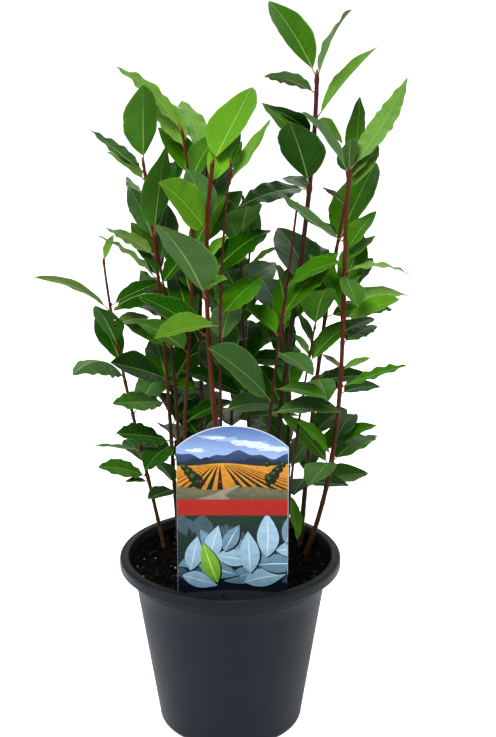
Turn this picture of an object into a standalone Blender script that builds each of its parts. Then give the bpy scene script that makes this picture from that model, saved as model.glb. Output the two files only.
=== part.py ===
"""A young bay laurel of fifteen slender canes in a round nursery pot, with its picture label.

Every bare cane stands on the compost and ends under its lowest leaf. The leafy shoot above it is one
solid: the rest of the cane with its leaves grown into it. Leaves set by hand come first, and a seeded
rule fills in the rest. A leaf that would touch another shoot is turned, and left out if it still touches.
"""

import math
import random

import bmesh
import bpy
from mathutils import Vector
from mathutils.bvhtree import BVHTree

MM = 0.001
NAME = "bay_laurel_in_pot"
FIT_GAP = 0.3 * MM

# Pot, mm: radii are of the outer face
POT_HEIGHT = 138.0
RIM_RADIUS = 85.0
RIM_DEPTH = 5.8
RIM_LIP = 5.2
RIM_ROUND = 2.2
COLLAR_RADIUS = 74.8
COLLAR_FOOT = 123.0
BODY_TOP_RADIUS = 73.0
FOOT_RADIUS = 55.2
FOOT_ROUND = 9.0
WALL = 1.5
FLOOR = 2.2
DRAIN_COUNT = 6
DRAIN_RADIUS = 5.0
DRAIN_RING = 38.0
POT_STEPS = 56

# Compost, mm
SOIL_LEVEL = 130.0
SOIL_INSET = 0.6

# Label, mm: x from its middle line, z above the pot's underside
LABEL_Y = -58.0
LABEL_MIDDLE = 2.5
LABEL_HALF = 40.5
LABEL_SHOULDER = 249.0
LABEL_TOP = 265.5
LABEL_NECK = {"left": 134.0, "right": 150.0}
LABEL_STAKE_HALF = 9.0
LABEL_STAKE_TOP = 118.0
LABEL_STAKE_TIP = 76.0
LABEL_THICK = 0.8

# Leaves: the chord's length is the leaf's, and breadth is its share of that
LEAF_THICK = 1.2 * MM
LEAF_FOLD = 0.16
PETIOLE_SHARE = 0.11
PETIOLE_HALF = 0.55 * MM
# share of the length, share of the half breadth
LEAF_OUTLINE = ((0.30, 0.80), (0.55, 1.0), (0.82, 0.60))
LEAF_CLEAR = 0.9 * MM

# Rule leaves, mm and degrees: the turn from each leaf to the next, lengths from the middle of the cane
# to its ends, rise at the top, roll towards the front, and how near a set leaf keeps a rule leaf away
LEAF_TURN = 137.5
LEAF_LONGEST = 64.0
LEAF_SHORTER = 46.0
LEAF_DROOP = 28.0
RULE_START = 8.0
RULE_SHIFT = 6.0
RULE_SWING = 13.0
RULE_RISE = 47.0
RULE_FACING = 25.0
NEAR_HEIGHT = 9.0
NEAR_TURN = 50.0

CANE_SIDES_RESOLUTION = 2
SHOOT_SIDES_RESOLUTION = 1
CANE_STEPS = 5
SHOOT_STEPS = 8
FLARE = 1.5

# Canes: foot (x, y) on the compost, tip (x, y, z), sideways bend low and high, thickness at foot and
# tip, heights where the foliage starts and where the rule stops; then for the rule: leaf count, first
# heading, the arc that its leaves spread over, and which of them are skipped so that light shows between
# the canes. All mm and degrees; heading 0 is right, 90 is back.
CANES = {
    "far_left": dict(foot=(-53, 34), tip=(-94, 30, 364), bend=(0, -7), thick=(4.0, 1.9), leafy=182,
                     fill=300, count=1, turn=60, arc=(40, 100)),
    "left": dict(foot=(-41, 36), tip=(-62, 10, 444), bend=(1, 7), thick=(4.0, 2.0), leafy=176,
                 fill=430, count=7, turn=20, arc=(30, 110)),
    "left_back": dict(foot=(-35, 19), tip=(-56, 35, 381), bend=(1, 10), thick=(3.2, 1.5), leafy=205,
                      fill=330, count=5, turn=95, arc=(50, 110)),
    "left_inner": dict(foot=(-32, 6), tip=(-34, 20, 464), bend=(-13, 19), thick=(3.6, 1.8), leafy=215,
                       fill=440, count=8, turn=130, arc=(50, 120)),
    "back_left": dict(foot=(-22, 45), tip=(-16, 30, 436), bend=(0, -9), thick=(3.6, 1.7), leafy=190,
                      fill=430, count=11, turn=10, arc=(30, 170)),
    "front": dict(foot=(-1, -30), tip=(-11, -30, 450), bend=(-1, -17), thick=(4.8, 2.4), leafy=262,
                  fill=420, count=4, turn=200, arc=(50, 130)),
    "front_inner": dict(foot=(-6, -16), tip=(2, -40, 452), bend=(0, -12), thick=(3.4, 1.6), leafy=240,
                        fill=380, count=5, turn=0, arc=(30, 100), skip=(4,)),
    "back": dict(foot=(3, 55), tip=(18, 65, 378), bend=(-13, -9), thick=(3.0, 1.2), leafy=185,
                 fill=372, count=13, turn=80, arc=(10, 180), skip=(10,)),
    "centre": dict(foot=(15, 10), tip=(10, 20, 413), bend=(8, -8), thick=(3.6, 1.6), leafy=205,
                   fill=380, count=8, turn=45, arc=(60, 140)),
    "centre_right": dict(foot=(26, -12), tip=(49, -5, 415), bend=(-12, -3), thick=(3.4, 1.7), leafy=240,
                         fill=365, count=5, turn=-60, arc=(-60, 40), skip=(2,)),
    "tall": dict(foot=(33, 19), tip=(62, -5, 508), bend=(-13, 9), thick=(4.4, 2.0), leafy=235,
                 fill=440, count=6, turn=160, arc=(60, 120), skip=(0, 3, 4, 5)),
    "back_right": dict(foot=(45, 40), tip=(38, 20, 324), bend=(1, 9), thick=(3.4, 1.5), leafy=172,
                       fill=318, count=6, turn=70, arc=(50, 150)),
    "slim": dict(foot=(42, 0), tip=(67, 5, 343), bend=(-6, -4), thick=(2.6, 1.3), leafy=215,
                 fill=337, count=4, turn=-20, arc=(-60, 20)),
    "right_inner": dict(foot=(55, 35), tip=(90, 15, 438), bend=(-5, -9), thick=(4.6, 2.0), leafy=176,
                        fill=380, count=8, turn=120, arc=(50, 110), skip=(4,)),
    "right": dict(foot=(59, 20), tip=(85, -20, 443), bend=(26, 3), thick=(4.2, 2.5), leafy=200,
                  fill=350, count=4, turn=90, arc=(70, 110)),
}

# Leaves set by hand, by cane: height on the cane, heading, rise, roll, length, breadth, droop
LEAVES = {
    "far_left": (
        (363, 75, 35, -5, 28, 0.24, 10), (324, -145, 30, -30, 76, 0.16, 40),
        (314, 40, 0, 25, 34, 0.42, 15), (297, -120, 55, 5, 48, 0.50, 20),
        (268, -125, 20, -20, 72, 0.34, 90), (212, -155, 15, -15, 42, 0.14, 10),
        (200, 115, 10, 5, 42, 0.46, 20), (190, -155, 20, -30, 44, 0.40, 20),
        (186, -135, 15, -20, 26, 0.28, 20),
    ),
    "left": (
        (441, -85, 75, 30, 62, 0.48, 20), (434, -150, 40, 25, 56, 0.28, 5),
        (386, -70, 65, 30, 82, 0.36, 15), (371, 150, 20, -10, 48, 0.34, 20),
        (355, -130, 45, 25, 24, 0.34, 15), (351, -150, 40, 20, 66, 0.15, 30),
        (273, -135, 25, -40, 62, 0.46, 10), (254, -135, 13, -25, 58, 0.36, 5),
        (221, -140, 20, -25, 56, 0.44, 15), (212, 135, -10, -20, 38, 0.40, 20),
        (184, -125, 50, 10, 36, 0.44, 20), (180, -125, 5, -15, 34, 0.46, 10),
    ),
    "left_back": (
        (381, 65, 40, -25, 86, 0.30, 20), (377, 115, 35, 30, 70, 0.38, 20),
        (337, -135, -4, -10, 50, 0.38, 55),
    ),
    "left_inner": (
        (461, 155, 40, -15, 72, 0.22, 35), (322, -150, 35, 30, 46, 0.36, 20),
        (297, -140, 35, 30, 64, 0.42, 25),
    ),
    "back_left": (
        (434, 110, 35, 25, 72, 0.38, 20), (416, 85, 25, -15, 56, 0.52, 15),
        (330, 125, 15, -10, 52, 0.46, 25),
        (257, -155, 20, -35, 34, 0.34, 15),
    ),
    "front": (
        (448, 65, 35, -15, 80, 0.48, 5), (400, -140, 45, -65, 60, 0.54, 20),
        (379, 60, 25, -10, 32, 0.36, 15), (358, -40, 25, 30, 28, 0.34, 20),
        (350, -125, 50, 0, 88, 0.50, 25),
    ),
    "front_inner": (
        (444, 65, 45, -15, 28, 0.28, 10), (438, 50, 40, -5, 60, 0.22, -10),
        (332, -145, 0, -20, 56, 0.38, 20),
    ),
    "back": (
        (350, -35, 30, 40, 34, 0.24, 15),
    ),
    "centre": (
        (387, -83, 35, 15, 55, 0.54, 25), (345, 60, 10, 10, 52, 0.44, 25),
    ),
    "centre_right": (
        (344, -105, 50, -80, 44, 0.34, 15), (316, 125, 15, -5, 50, 0.34, 25),
        (305, -60, -5, 0, 50, 0.42, 15), (276, -40, 5, 10, 50, 0.34, 25),
        (266, -145, 42, -50, 82, 0.44, 20),
    ),
    "tall": (
        (505, 125, 40, -5, 76, 0.36, 20), (503, 55, 45, -30, 66, 0.20, 45),
        (494, -150, 20, 30, 46, 0.34, 30), (477, 50, -35, 65, 40, 0.34, 15),
        (475, 45, 35, -10, 80, 0.18, 15), (464, -133, 28, 15, 58, 0.28, 20),
        (427, -115, 55, 5, 64, 0.54, 15), (425, -145, -5, -20, 62, 0.36, 30),
    ),
    "back_right": (
        (321, 110, 15, 0, 64, 0.50, 25), (318, -45, 35, 55, 48, 0.40, 25),
        (209, -130, 50, -65, 46, 0.44, 20), (178, -80, -35, -40, 46, 0.34, 15),
    ),
    "slim": (
        (340, 115, 30, 0, 82, 0.44, 20), (307, 105, 25, 25, 38, 0.28, 15),
        (297, -140, 55, 15, 26, 0.30, 15),
    ),
    "right_inner": (
        (435, 80, 50, -40, 64, 0.30, -40), (432, 60, 40, -25, 58, 0.34, 20),
        (410, -140, 35, 20, 28, 0.26, 10), (386, -140, 30, 25, 28, 0.34, 15),
        (376, 60, 40, -20, 84, 0.50, 15), (347, 110, 20, 5, 68, 0.44, 25),
        (336, 45, 20, 0, 54, 0.42, 20), (294, -50, -15, 0, 24, 0.30, 10),
        (290, -130, 35, 35, 16, 0.50, 10), (274, -70, -10, 5, 44, 0.44, 20),
        (270, 35, -5, 20, 52, 0.36, 15), (223, 55, 10, 10, 54, 0.42, 25),
        (190, -115, -5, 5, 32, 0.56, 20), (184, 25, 0, 15, 56, 0.42, 10),
    ),
    "right": (
        (443, 50, 40, -15, 90, 0.33, -25), (440, -150, 50, -45, 62, 0.26, 20),
        (439, 85, 35, -45, 36, 0.58, 20), (435, 50, 30, -10, 38, 0.30, 10),
        (389, -155, 38, 20, 68, 0.24, -15), (373, 50, 20, 0, 40, 0.34, 10),
        (379, 55, 30, -10, 50, 0.42, 20), (366, 30, -10, 10, 62, 0.18, 50),
        (364, -80, -15, -15, 46, 0.40, 15), (345, 55, 30, -5, 46, 0.42, 20),
        (341, 25, 0, 15, 56, 0.34, 30), (330, -35, 25, 35, 52, 0.38, 5),
        (319, 45, 5, 10, 36, 0.38, 15), (310, 50, 5, 10, 44, 0.42, 20),
        (288, 25, 15, 10, 26, 0.32, 15), (274, -25, 25, 20, 58, 0.26, 10),
        (269, 40, -5, 15, 44, 0.42, 20), (216, -140, 45, -50, 52, 0.30, 20),
        (212, -115, -5, 5, 46, 0.52, 20), (211, 50, 5, 0, 60, 0.48, 30),
    ),
}

FINISHES = {
    "pot": ((0.030, 0.033, 0.038), 0.42),
    "compost": ((0.012, 0.009, 0.007), 0.95),
    "label": ((0.42, 0.50, 0.62), 0.35),
    "stem": ((0.22, 0.035, 0.030), 0.55),
    "foliage": ((0.055, 0.16, 0.035), 0.42),
}


def clear_scene():
    for item in list(bpy.data.objects):
        bpy.data.objects.remove(item, do_unlink=True)


def new_collection(name):
    group = bpy.data.collections.new(name)
    bpy.context.scene.collection.children.link(group)
    return group


def finish(kind):
    """One Principled material for each kind of piece."""
    material = bpy.data.materials.get(kind)
    if material is None:
        colour, roughness = FINISHES[kind]
        material = bpy.data.materials.new(kind)
        material.use_nodes = True
        shader = material.node_tree.nodes["Principled BSDF"]
        shader.inputs["Base Color"].default_value = (*colour, 1.0)
        shader.inputs["Roughness"].default_value = roughness
        shader.inputs["Metallic"].default_value = 0.0
    return material


def add_object(name, data, group, kind=None):
    item = bpy.data.objects.new(name, data)
    group.objects.link(item)
    if kind:
        data.materials.append(finish(kind))
    return item


def mesh_from(name, points, faces):
    mesh = bpy.data.meshes.new(name)
    mesh.from_pydata(points, [], faces)
    mesh.update()
    return mesh


def evaluated_mesh(item, weld=None):
    """The mesh of an object with its modifiers applied, its loose seams welded."""
    bpy.context.view_layer.update()
    mesh = bpy.data.meshes.new_from_object(item.evaluated_get(bpy.context.evaluated_depsgraph_get()))
    if weld:
        shape = bmesh.new()
        shape.from_mesh(mesh)
        bmesh.ops.remove_doubles(shape, verts=shape.verts, dist=weld)
        bmesh.ops.recalc_face_normals(shape, faces=shape.faces)
        shape.to_mesh(mesh)
        shape.free()
    return mesh


def turned(name, profile, group, kind):
    """A solid turned round Z from a profile of (radius, height) in mm that ends on the axis."""
    points = [(radius * MM, 0, height * MM) for radius, height in profile]
    edges = [(index, index + 1) for index in range(len(points) - 1)]
    mesh = bpy.data.meshes.new(name)
    mesh.from_pydata(points, edges, [])
    item = add_object(name, mesh, group, kind)
    screw = item.modifiers.new("turn", "SCREW")
    screw.axis = "Z"
    screw.steps = screw.render_steps = POT_STEPS
    screw.use_merge_vertices = True
    screw.merge_threshold = 0.00005
    return item


def arc(centre, radius, start, end, steps):
    """Points of an arc in the profile's plane, angles in degrees."""
    points = []
    for step in range(steps + 1):
        angle = math.radians(start + (end - start) * step / steps)
        points.append((centre[0] + radius * math.cos(angle), centre[1] + radius * math.sin(angle)))
    return points


def body_radius(height):
    """Outer radius of the tapered wall at a height."""
    share = (height - FOOT_ROUND) / (COLLAR_FOOT - FOOT_ROUND)
    return FOOT_RADIUS + (BODY_TOP_RADIUS - FOOT_RADIUS) * share


def make_pot(group, cutters):
    rim_foot = POT_HEIGHT - RIM_DEPTH
    inner_round = FOOT_ROUND - WALL
    inner_corner = (FOOT_RADIUS - FOOT_ROUND, FLOOR + inner_round)
    profile = [(0.0, FLOOR)]
    profile += arc(inner_corner, inner_round, -90, 0, 3)
    profile += [(BODY_TOP_RADIUS - WALL - 0.8, COLLAR_FOOT - 4), (COLLAR_RADIUS - WALL, rim_foot - 1)]
    lip_inner = RIM_RADIUS - RIM_LIP
    profile += [(lip_inner - 0.6, POT_HEIGHT - 3.0)]
    profile += arc((lip_inner + 1.2, POT_HEIGHT - 1.5), 1.5, 150, 90, 2)
    profile += arc((RIM_RADIUS - RIM_ROUND, POT_HEIGHT - RIM_ROUND), RIM_ROUND, 90, 0, 4)
    profile += arc((RIM_RADIUS - 1.2, rim_foot + 1.2), 1.2, 0, -90, 2)
    profile += [(RIM_RADIUS - 4.0, rim_foot + 0.4), (COLLAR_RADIUS + 0.2, rim_foot + 0.2)]
    profile += [(COLLAR_RADIUS, COLLAR_FOOT + 1.0), (body_radius(COLLAR_FOOT), COLLAR_FOOT)]
    corner = (FOOT_RADIUS - FOOT_ROUND, FOOT_ROUND)
    profile += arc(corner, FOOT_ROUND, 0, -90, 6)
    profile += [(0.0, 0.0)]
    pot = turned("pot", profile, group, "pot")
    for index in range(DRAIN_COUNT):
        turn = 2 * math.pi * (index + 0.5) / DRAIN_COUNT
        shape = bmesh.new()
        bmesh.ops.create_cone(shape, cap_ends=True, segments=16, radius1=DRAIN_RADIUS * MM,
                              radius2=DRAIN_RADIUS * MM, depth=4 * FLOOR * MM)
        mesh = bpy.data.meshes.new(f"drain_{index}")
        shape.to_mesh(mesh)
        shape.free()
        cutter = add_object(mesh.name, mesh, cutters)
        cutter.location = (DRAIN_RING * MM * math.cos(turn), DRAIN_RING * MM * math.sin(turn), 0)
        as_cutter(cutter)
        cut(pot, cutter)
    return pot


def as_cutter(item):
    item.hide_render = True
    item.display_type = "WIRE"


def cut(item, cutter):
    boolean = item.modifiers.new(cutter.name, "BOOLEAN")
    boolean.operation = "DIFFERENCE"
    boolean.object = cutter


def label_outline(grow=0.0):
    """The label's outline in its own plane, mm, from the stake's tip round to the left."""
    half = LABEL_HALF + grow
    stake = LABEL_STAKE_HALF + grow
    points = [(0.0, LABEL_STAKE_TIP - 2 * grow), (stake, LABEL_STAKE_TIP + 16), (stake, LABEL_STAKE_TOP)]
    points += [(half * 0.62, LABEL_STAKE_TOP + 8), (half * 0.93, POT_HEIGHT - 4)]
    points += [(half, LABEL_NECK["right"])]
    rise = LABEL_TOP - LABEL_SHOULDER
    radius = (half * half + rise * rise) / (2 * rise)
    sweep = math.degrees(math.asin(half / radius))
    centre = (0.0, LABEL_TOP - radius)
    points += arc(centre, radius, 90 - sweep, 90 + sweep, 14)
    points += [(-half, LABEL_NECK["left"]), (-half * 0.62, LABEL_STAKE_TOP + 8)]
    points += [(-stake, LABEL_STAKE_TOP), (-stake, LABEL_STAKE_TIP + 16)]
    return points


def label_curve(name, grow=0.0):
    """A flat curve of the label's outline, with its thickness, grown on every side."""
    curve = bpy.data.curves.new(name, "CURVE")
    curve.dimensions = "2D"
    curve.fill_mode = "BOTH"
    curve.extrude = (LABEL_THICK / 2 + grow) * MM
    outline = label_outline(grow)
    spline = curve.splines.new("POLY")
    spline.points.add(len(outline) - 1)
    for point, (across, height) in zip(spline.points, outline):
        point.co = (across * MM, height * MM, 0, 1)
    spline.use_cyclic_u = True
    return curve


def stand_label(item):
    item.location = (LABEL_MIDDLE * MM, LABEL_Y * MM, 0)
    item.rotation_euler = (math.pi / 2, 0, 0)


def make_label(group):
    label = add_object("label", label_curve("label"), group, "label")
    stand_label(label)
    return label


def make_compost(group, cutters):
    """The filled plug, clear of the pot, with a slot for the label's stake."""
    clear = WALL + FIT_GAP / MM
    inner_round = FOOT_ROUND - WALL
    collar_radius = COLLAR_RADIUS - clear - SOIL_INSET
    body_top = (BODY_TOP_RADIUS - clear - 2 * SOIL_INSET, COLLAR_FOOT - 5)
    profile = [(0.0, SOIL_LEVEL), (collar_radius, SOIL_LEVEL), body_top]
    corner = (FOOT_RADIUS - FOOT_ROUND, FLOOR + inner_round)
    profile += arc(corner, inner_round - FIT_GAP / MM, 0, -90, 3)
    profile += [(0.0, FLOOR + FIT_GAP / MM)]
    compost = turned("compost", profile, group, "compost")
    grown = label_curve("slot_outline", FIT_GAP / MM)
    source = bpy.data.objects.new("slot_outline", grown)
    bpy.context.scene.collection.objects.link(source)
    cutter = add_object("stake_slot", evaluated_mesh(source, weld=0.00001), cutters)
    bpy.data.objects.remove(source, do_unlink=True)
    stand_label(cutter)
    as_cutter(cutter)
    cut(compost, cutter)
    return compost


class Cane:
    """The centre line and thickness of one cane from the compost to its tip."""

    def __init__(self, name, settings):
        self.name = name
        self.settings = settings
        self.foot = Vector((*settings["foot"], SOIL_LEVEL)) * MM + Vector((0, 0, FIT_GAP))
        self.tip = Vector(settings["tip"]) * MM
        self.bend = [value * MM for value in settings["bend"]]
        self.thick = [value * MM for value in settings["thick"]]
        self.split = self.share_at(settings["leafy"] * MM)

    def share_at(self, height):
        return (height - self.foot.z) / (self.tip.z - self.foot.z)

    def point(self, share):
        low = 3 * share * (1 - share) ** 2
        high = 3 * share * share * (1 - share)
        sideways = self.bend[0] * low + self.bend[1] * high
        return self.foot.lerp(self.tip, share) + Vector((sideways, 0, 0))

    def radius(self, share):
        return (self.thick[0] + (self.thick[1] - self.thick[0]) * share) / 2


def tube(name, points, radii, resolution):
    """A round tapering tube through points, as a welded mesh."""
    curve = bpy.data.curves.new(name, "CURVE")
    curve.dimensions = "3D"
    curve.bevel_depth = 1.0
    curve.bevel_resolution = resolution
    curve.use_fill_caps = True
    spline = curve.splines.new("POLY")
    spline.points.add(len(points) - 1)
    for knot, point, radius in zip(spline.points, points, radii):
        knot.co = (*point, 1)
        knot.radius = radius
    item = bpy.data.objects.new(name, curve)
    bpy.context.scene.collection.objects.link(item)
    mesh = evaluated_mesh(item, weld=0.00001)
    bpy.data.objects.remove(item, do_unlink=True)
    return mesh


def stem_mesh(cane):
    """The bare cane: a flat cut on the compost, a short flare, then a smooth taper."""
    points = [cane.foot, cane.foot + Vector((0, 0, 3 * MM))]
    radii = [cane.radius(0) * FLARE, cane.radius(0) * 1.15]
    for step in range(1, CANE_STEPS + 1):
        share = cane.split * step / CANE_STEPS
        points.append(cane.point(share))
        radii.append(cane.radius(share))
    points[-1] = points[-1] - Vector((0, 0, FIT_GAP))
    return tube(f"stem_{cane.name}", points, radii, CANE_SIDES_RESOLUTION)


def shoot_mesh(cane):
    """The stem of the leafy shoot, from just over the bare cane to the tip."""
    points = []
    radii = []
    for step in range(SHOOT_STEPS + 1):
        share = cane.split + (1 - cane.split) * step / SHOOT_STEPS
        points.append(cane.point(share))
        radii.append(cane.radius(share))
    return tube(f"shoot_{cane.name}", points, radii, SHOOT_SIDES_RESOLUTION)


def midrib_at(rise, droop, share):
    """How far out and up the midrib is, in leaf lengths, on its even bend from rise + droop / 2."""
    start = rise + droop / 2
    angle = start - droop * share
    return (math.sin(start) - math.sin(angle)) / droop, (math.cos(angle) - math.cos(start)) / droop, angle


def leaf_shape(root, leaf, grow=0.0, blade_only=False):
    """Points and faces of one leaf: diamond sections along a drooping midrib, folded up at the edges."""
    heading, rise, roll, length, breadth, droop = leaf
    heading, rise, roll, droop = (math.radians(value) for value in (heading, rise, roll, droop))
    half = breadth * length * MM / 2
    flat = Vector((math.cos(heading), math.sin(heading), 0))
    across = Vector((math.sin(heading), -math.cos(heading), 0))
    upright = Vector((0, 0, 1))
    stations = [(0.0, PETIOLE_HALF, PETIOLE_HALF, 0), (PETIOLE_SHARE, PETIOLE_HALF, PETIOLE_HALF, 0)]
    stations += [(share, half * width, LEAF_THICK / 2, LEAF_FOLD) for share, width in LEAF_OUTLINE]
    if blade_only:
        stations = stations[1:]
    points = []
    for share, wide, thick, fold in stations:
        out, up, angle = midrib_at(rise, droop, share)
        centre = root + (flat * out + upright * up) * length * MM
        along = flat * math.cos(angle) + upright * math.sin(angle)
        over = upright * math.cos(angle) - flat * math.sin(angle)
        side = across * math.cos(roll) - over * math.sin(roll)
        over = side.cross(along)
        lift = over * wide * fold
        points += [centre + side * (wide + grow) + lift, centre + over * (thick + grow),
                   centre - side * (wide + grow) + lift, centre - over * (thick + grow)]
    out, up, _ = midrib_at(rise, droop, 1.0)
    points.append(root + (flat * out + upright * up) * length * MM)
    faces = [(3, 2, 1, 0)]
    for row in range(len(stations) - 1):
        base = row * 4
        for corner in range(4):
            after = (corner + 1) % 4
            faces.append((base + corner, base + after, base + 4 + after, base + 4 + corner))
    base = (len(stations) - 1) * 4
    tip = len(points) - 1
    for corner in range(4):
        faces.append((base + corner, base + (corner + 1) % 4, tip))
    return points, faces


class Space:
    """What has been placed, with the shoot that each piece belongs to."""

    def __init__(self):
        self.taken = []

    def add(self, owner, points, faces, blade=None):
        low = Vector([min(point[axis] for point in points) for axis in range(3)])
        high = Vector([max(point[axis] for point in points) for axis in range(3)])
        tree = BVHTree.FromPolygons(points, faces)
        own = BVHTree.FromPolygons(*blade) if blade else None
        self.taken.append((owner, low, high, tree, own))

    def add_mesh(self, owner, mesh, matrix=None):
        points = [matrix @ vertex.co if matrix else vertex.co.copy() for vertex in mesh.vertices]
        self.add(owner, points, [tuple(face.vertices) for face in mesh.polygons])

    def is_free(self, owner, full, blade):
        points, faces = full
        low = Vector([min(point[axis] for point in points) for axis in range(3)])
        high = Vector([max(point[axis] for point in points) for axis in range(3)])
        whole = BVHTree.FromPolygons(points, faces)
        part = BVHTree.FromPolygons(*blade)
        for other, floor, top, tree, own in self.taken:
            if any(low[axis] > top[axis] or high[axis] < floor[axis] for axis in range(3)):
                continue
            if other == owner:
                if own and part.overlap(own):
                    return False
            elif whole.overlap(tree):
                return False
        return True


def place_leaf(space, cane, share, leaf, tries):
    """Adds the leaf in the first of the tried positions that is free; None if none is."""
    heading, rise, roll, length, breadth, droop = leaf
    root = cane.point(share)
    for turn, lift, scale in tries:
        trial = (heading + turn, rise + lift, roll, length * scale, breadth, droop)
        full = leaf_shape(root, trial, grow=LEAF_CLEAR)
        blade = leaf_shape(root, trial, grow=LEAF_CLEAR / 2, blade_only=True)
        if space.is_free(cane.name, full, blade):
            space.add(cane.name, *leaf_shape(root, trial), blade=leaf_shape(root, trial, blade_only=True))
            return root, trial
    return None


SET_TRIES = [(0, 0, 1.0)] + [
    (turn, lift, scale)
    for scale in (1.0, 0.9)
    for turn, lift in ((6, 0), (-6, 0), (0, 6), (0, -6), (12, 4), (-12, 4), (12, -6), (-12, -6),
                       (20, 8), (-20, 8), (30, 0), (-30, 0))
]
RULE_TRIES = [(turn, lift, scale) for scale in (1.0, 0.85) for lift in (0, 12, -12)
              for turn in (0, 18, -18, 36, -36)]


def set_leaves(space, canes):
    """The leaves set by hand, the largest first, by cane."""
    placed = {cane.name: [] for cane in canes}
    order = [(cane, leaf) for cane in canes for leaf in LEAVES[cane.name]]
    order.sort(key=lambda entry: -entry[1][4] * entry[1][4] * entry[1][5])
    for cane, (height, *leaf) in order:
        found = place_leaf(space, cane, cane.share_at(height * MM), leaf, SET_TRIES)
        if found:
            placed[cane.name].append((height, *found))
        else:
            print("no room for a set leaf", cane.name, height)
    return placed


def rule_leaves(space, cane, placed, rng):
    """Fills the shoot with leaves that turn up it by the rule, where no set leaf is near."""
    settings = cane.settings
    first, last = settings["leafy"] + RULE_START, settings["fill"]
    low, high = settings["arc"]
    added = []
    for index in range(settings["count"]):
        share = (index + 0.5) / settings["count"]
        height = first + (last - first) * share + rng.uniform(-RULE_SHIFT, RULE_SHIFT)
        swing = (settings["turn"] + index * LEAF_TURN) % 360 / 360
        heading = low + (high - low) * swing + rng.uniform(-RULE_SWING, RULE_SWING)
        rise = RULE_RISE * share + rng.uniform(-RULE_SWING, RULE_SWING)
        roll = RULE_FACING * math.cos(math.radians(heading)) + rng.uniform(-RULE_SWING, RULE_SWING)
        length = (LEAF_LONGEST - LEAF_SHORTER * (share - 0.5) ** 2) * rng.uniform(0.82, 1.08)
        leaf = (heading, rise, roll, length, rng.uniform(0.34, 0.46), LEAF_DROOP * rng.uniform(0.5, 1.5))
        crowded = any(abs(height - other[0]) < NEAR_HEIGHT
                      and abs(math.remainder(heading - other[2][0], 360)) < NEAR_TURN
                      for other in placed + added)
        if crowded or index in settings.get("skip", ()):
            continue
        found = place_leaf(space, cane, cane.share_at(height * MM), leaf, RULE_TRIES)
        if found:
            added.append((height, *found))
    return added


def join_shoot(cane, leaves, group):
    """One closed solid of the shoot's stem and its leaves."""
    shoot = add_object(f"foliage_{cane.name}", shoot_mesh(cane), group, "foliage")
    grafts = new_collection(f"grafts_{cane.name}")
    for index, (_, root, leaf) in enumerate(leaves):
        points, faces = leaf_shape(root, leaf)
        mesh = mesh_from(f"leaf_{index}", points, faces)
        add_object(f"leaf_{cane.name}_{index}", mesh, grafts)
    union = shoot.modifiers.new("grafts", "BOOLEAN")
    union.operation = "UNION"
    union.operand_type = "COLLECTION"
    union.collection = grafts
    union.solver = "EXACT"
    joined = evaluated_mesh(shoot)
    shoot.modifiers.clear()
    shoot.data = joined
    joined.materials.clear()
    joined.materials.append(finish("foliage"))
    for item in list(grafts.objects):
        bpy.data.objects.remove(item, do_unlink=True)
    bpy.data.collections.remove(grafts)
    return shoot


def shade(item, angle=40):
    item.data.shade_smooth()
    item.data.set_sharp_from_angle(angle=math.radians(angle))


def main():
    clear_scene()
    group = new_collection(NAME)
    cutters = new_collection("cutters")
    pot = make_pot(group, cutters)
    compost = make_compost(group, cutters)
    label = make_label(group)
    space = Space()
    for item in (pot, compost, label):
        space.add_mesh("base", evaluated_mesh(item), item.matrix_world)
    canes = [Cane(name, settings) for name, settings in CANES.items()]
    for cane in canes:
        bare = stem_mesh(cane)
        stem = add_object(f"stem_{cane.name}", bare, group, "stem")
        shade(stem)
        space.add_mesh("base", bare)
        space.add_mesh(cane.name, shoot_mesh(cane))
    placed = set_leaves(space, canes)
    for index, cane in enumerate(canes):
        rng = random.Random(100 + index)
        placed[cane.name] += rule_leaves(space, cane, placed[cane.name], rng)
    for cane in canes:
        join_shoot(cane, placed[cane.name], group)
    print("leaves:", sum(len(leaves) for leaves in placed.values()))


main()
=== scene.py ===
# A young bay laurel in a nursery pot: fifteen canes, their leaves, the compost, the pot and its label.
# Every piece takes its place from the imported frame, and the leaves grow by the same rule as its solids.

import math
import random

import bmesh
import bpy
import numpy as np
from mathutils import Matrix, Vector, noise
from mathutils.bvhtree import BVHTree


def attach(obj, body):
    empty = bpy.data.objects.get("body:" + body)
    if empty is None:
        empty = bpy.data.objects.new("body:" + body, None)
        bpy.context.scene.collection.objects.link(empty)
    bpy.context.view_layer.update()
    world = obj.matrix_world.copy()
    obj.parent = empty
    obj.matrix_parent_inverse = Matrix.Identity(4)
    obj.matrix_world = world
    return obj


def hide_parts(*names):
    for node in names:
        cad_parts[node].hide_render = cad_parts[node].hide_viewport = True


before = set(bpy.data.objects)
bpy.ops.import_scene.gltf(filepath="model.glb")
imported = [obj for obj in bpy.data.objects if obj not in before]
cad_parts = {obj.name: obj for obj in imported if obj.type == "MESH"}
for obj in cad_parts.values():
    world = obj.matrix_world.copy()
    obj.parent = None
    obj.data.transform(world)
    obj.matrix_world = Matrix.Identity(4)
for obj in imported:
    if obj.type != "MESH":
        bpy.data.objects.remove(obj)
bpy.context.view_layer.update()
mm = 0.001
body = "root"
fullTurn = 2 * math.pi
anyTurn = 6.28  # the span that random phases and headings are drawn from


# Meshes and pieces

def newObject(name, data):
    item = bpy.data.objects.new(name, data)
    bpy.context.scene.collection.objects.link(item)
    return item


def deletePieces(*items):
    for item in items:
        bpy.data.objects.remove(item, do_unlink=True)


def meshFrom(name, points, faces=(), edges=()):
    mesh = bpy.data.meshes.new(name)
    mesh.from_pydata([tuple(point) for point in points], edges, faces)
    mesh.update()
    return mesh


def meshOf(name, shape):
    mesh = bpy.data.meshes.new(name)
    shape.to_mesh(mesh)
    shape.free()
    return mesh


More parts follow.
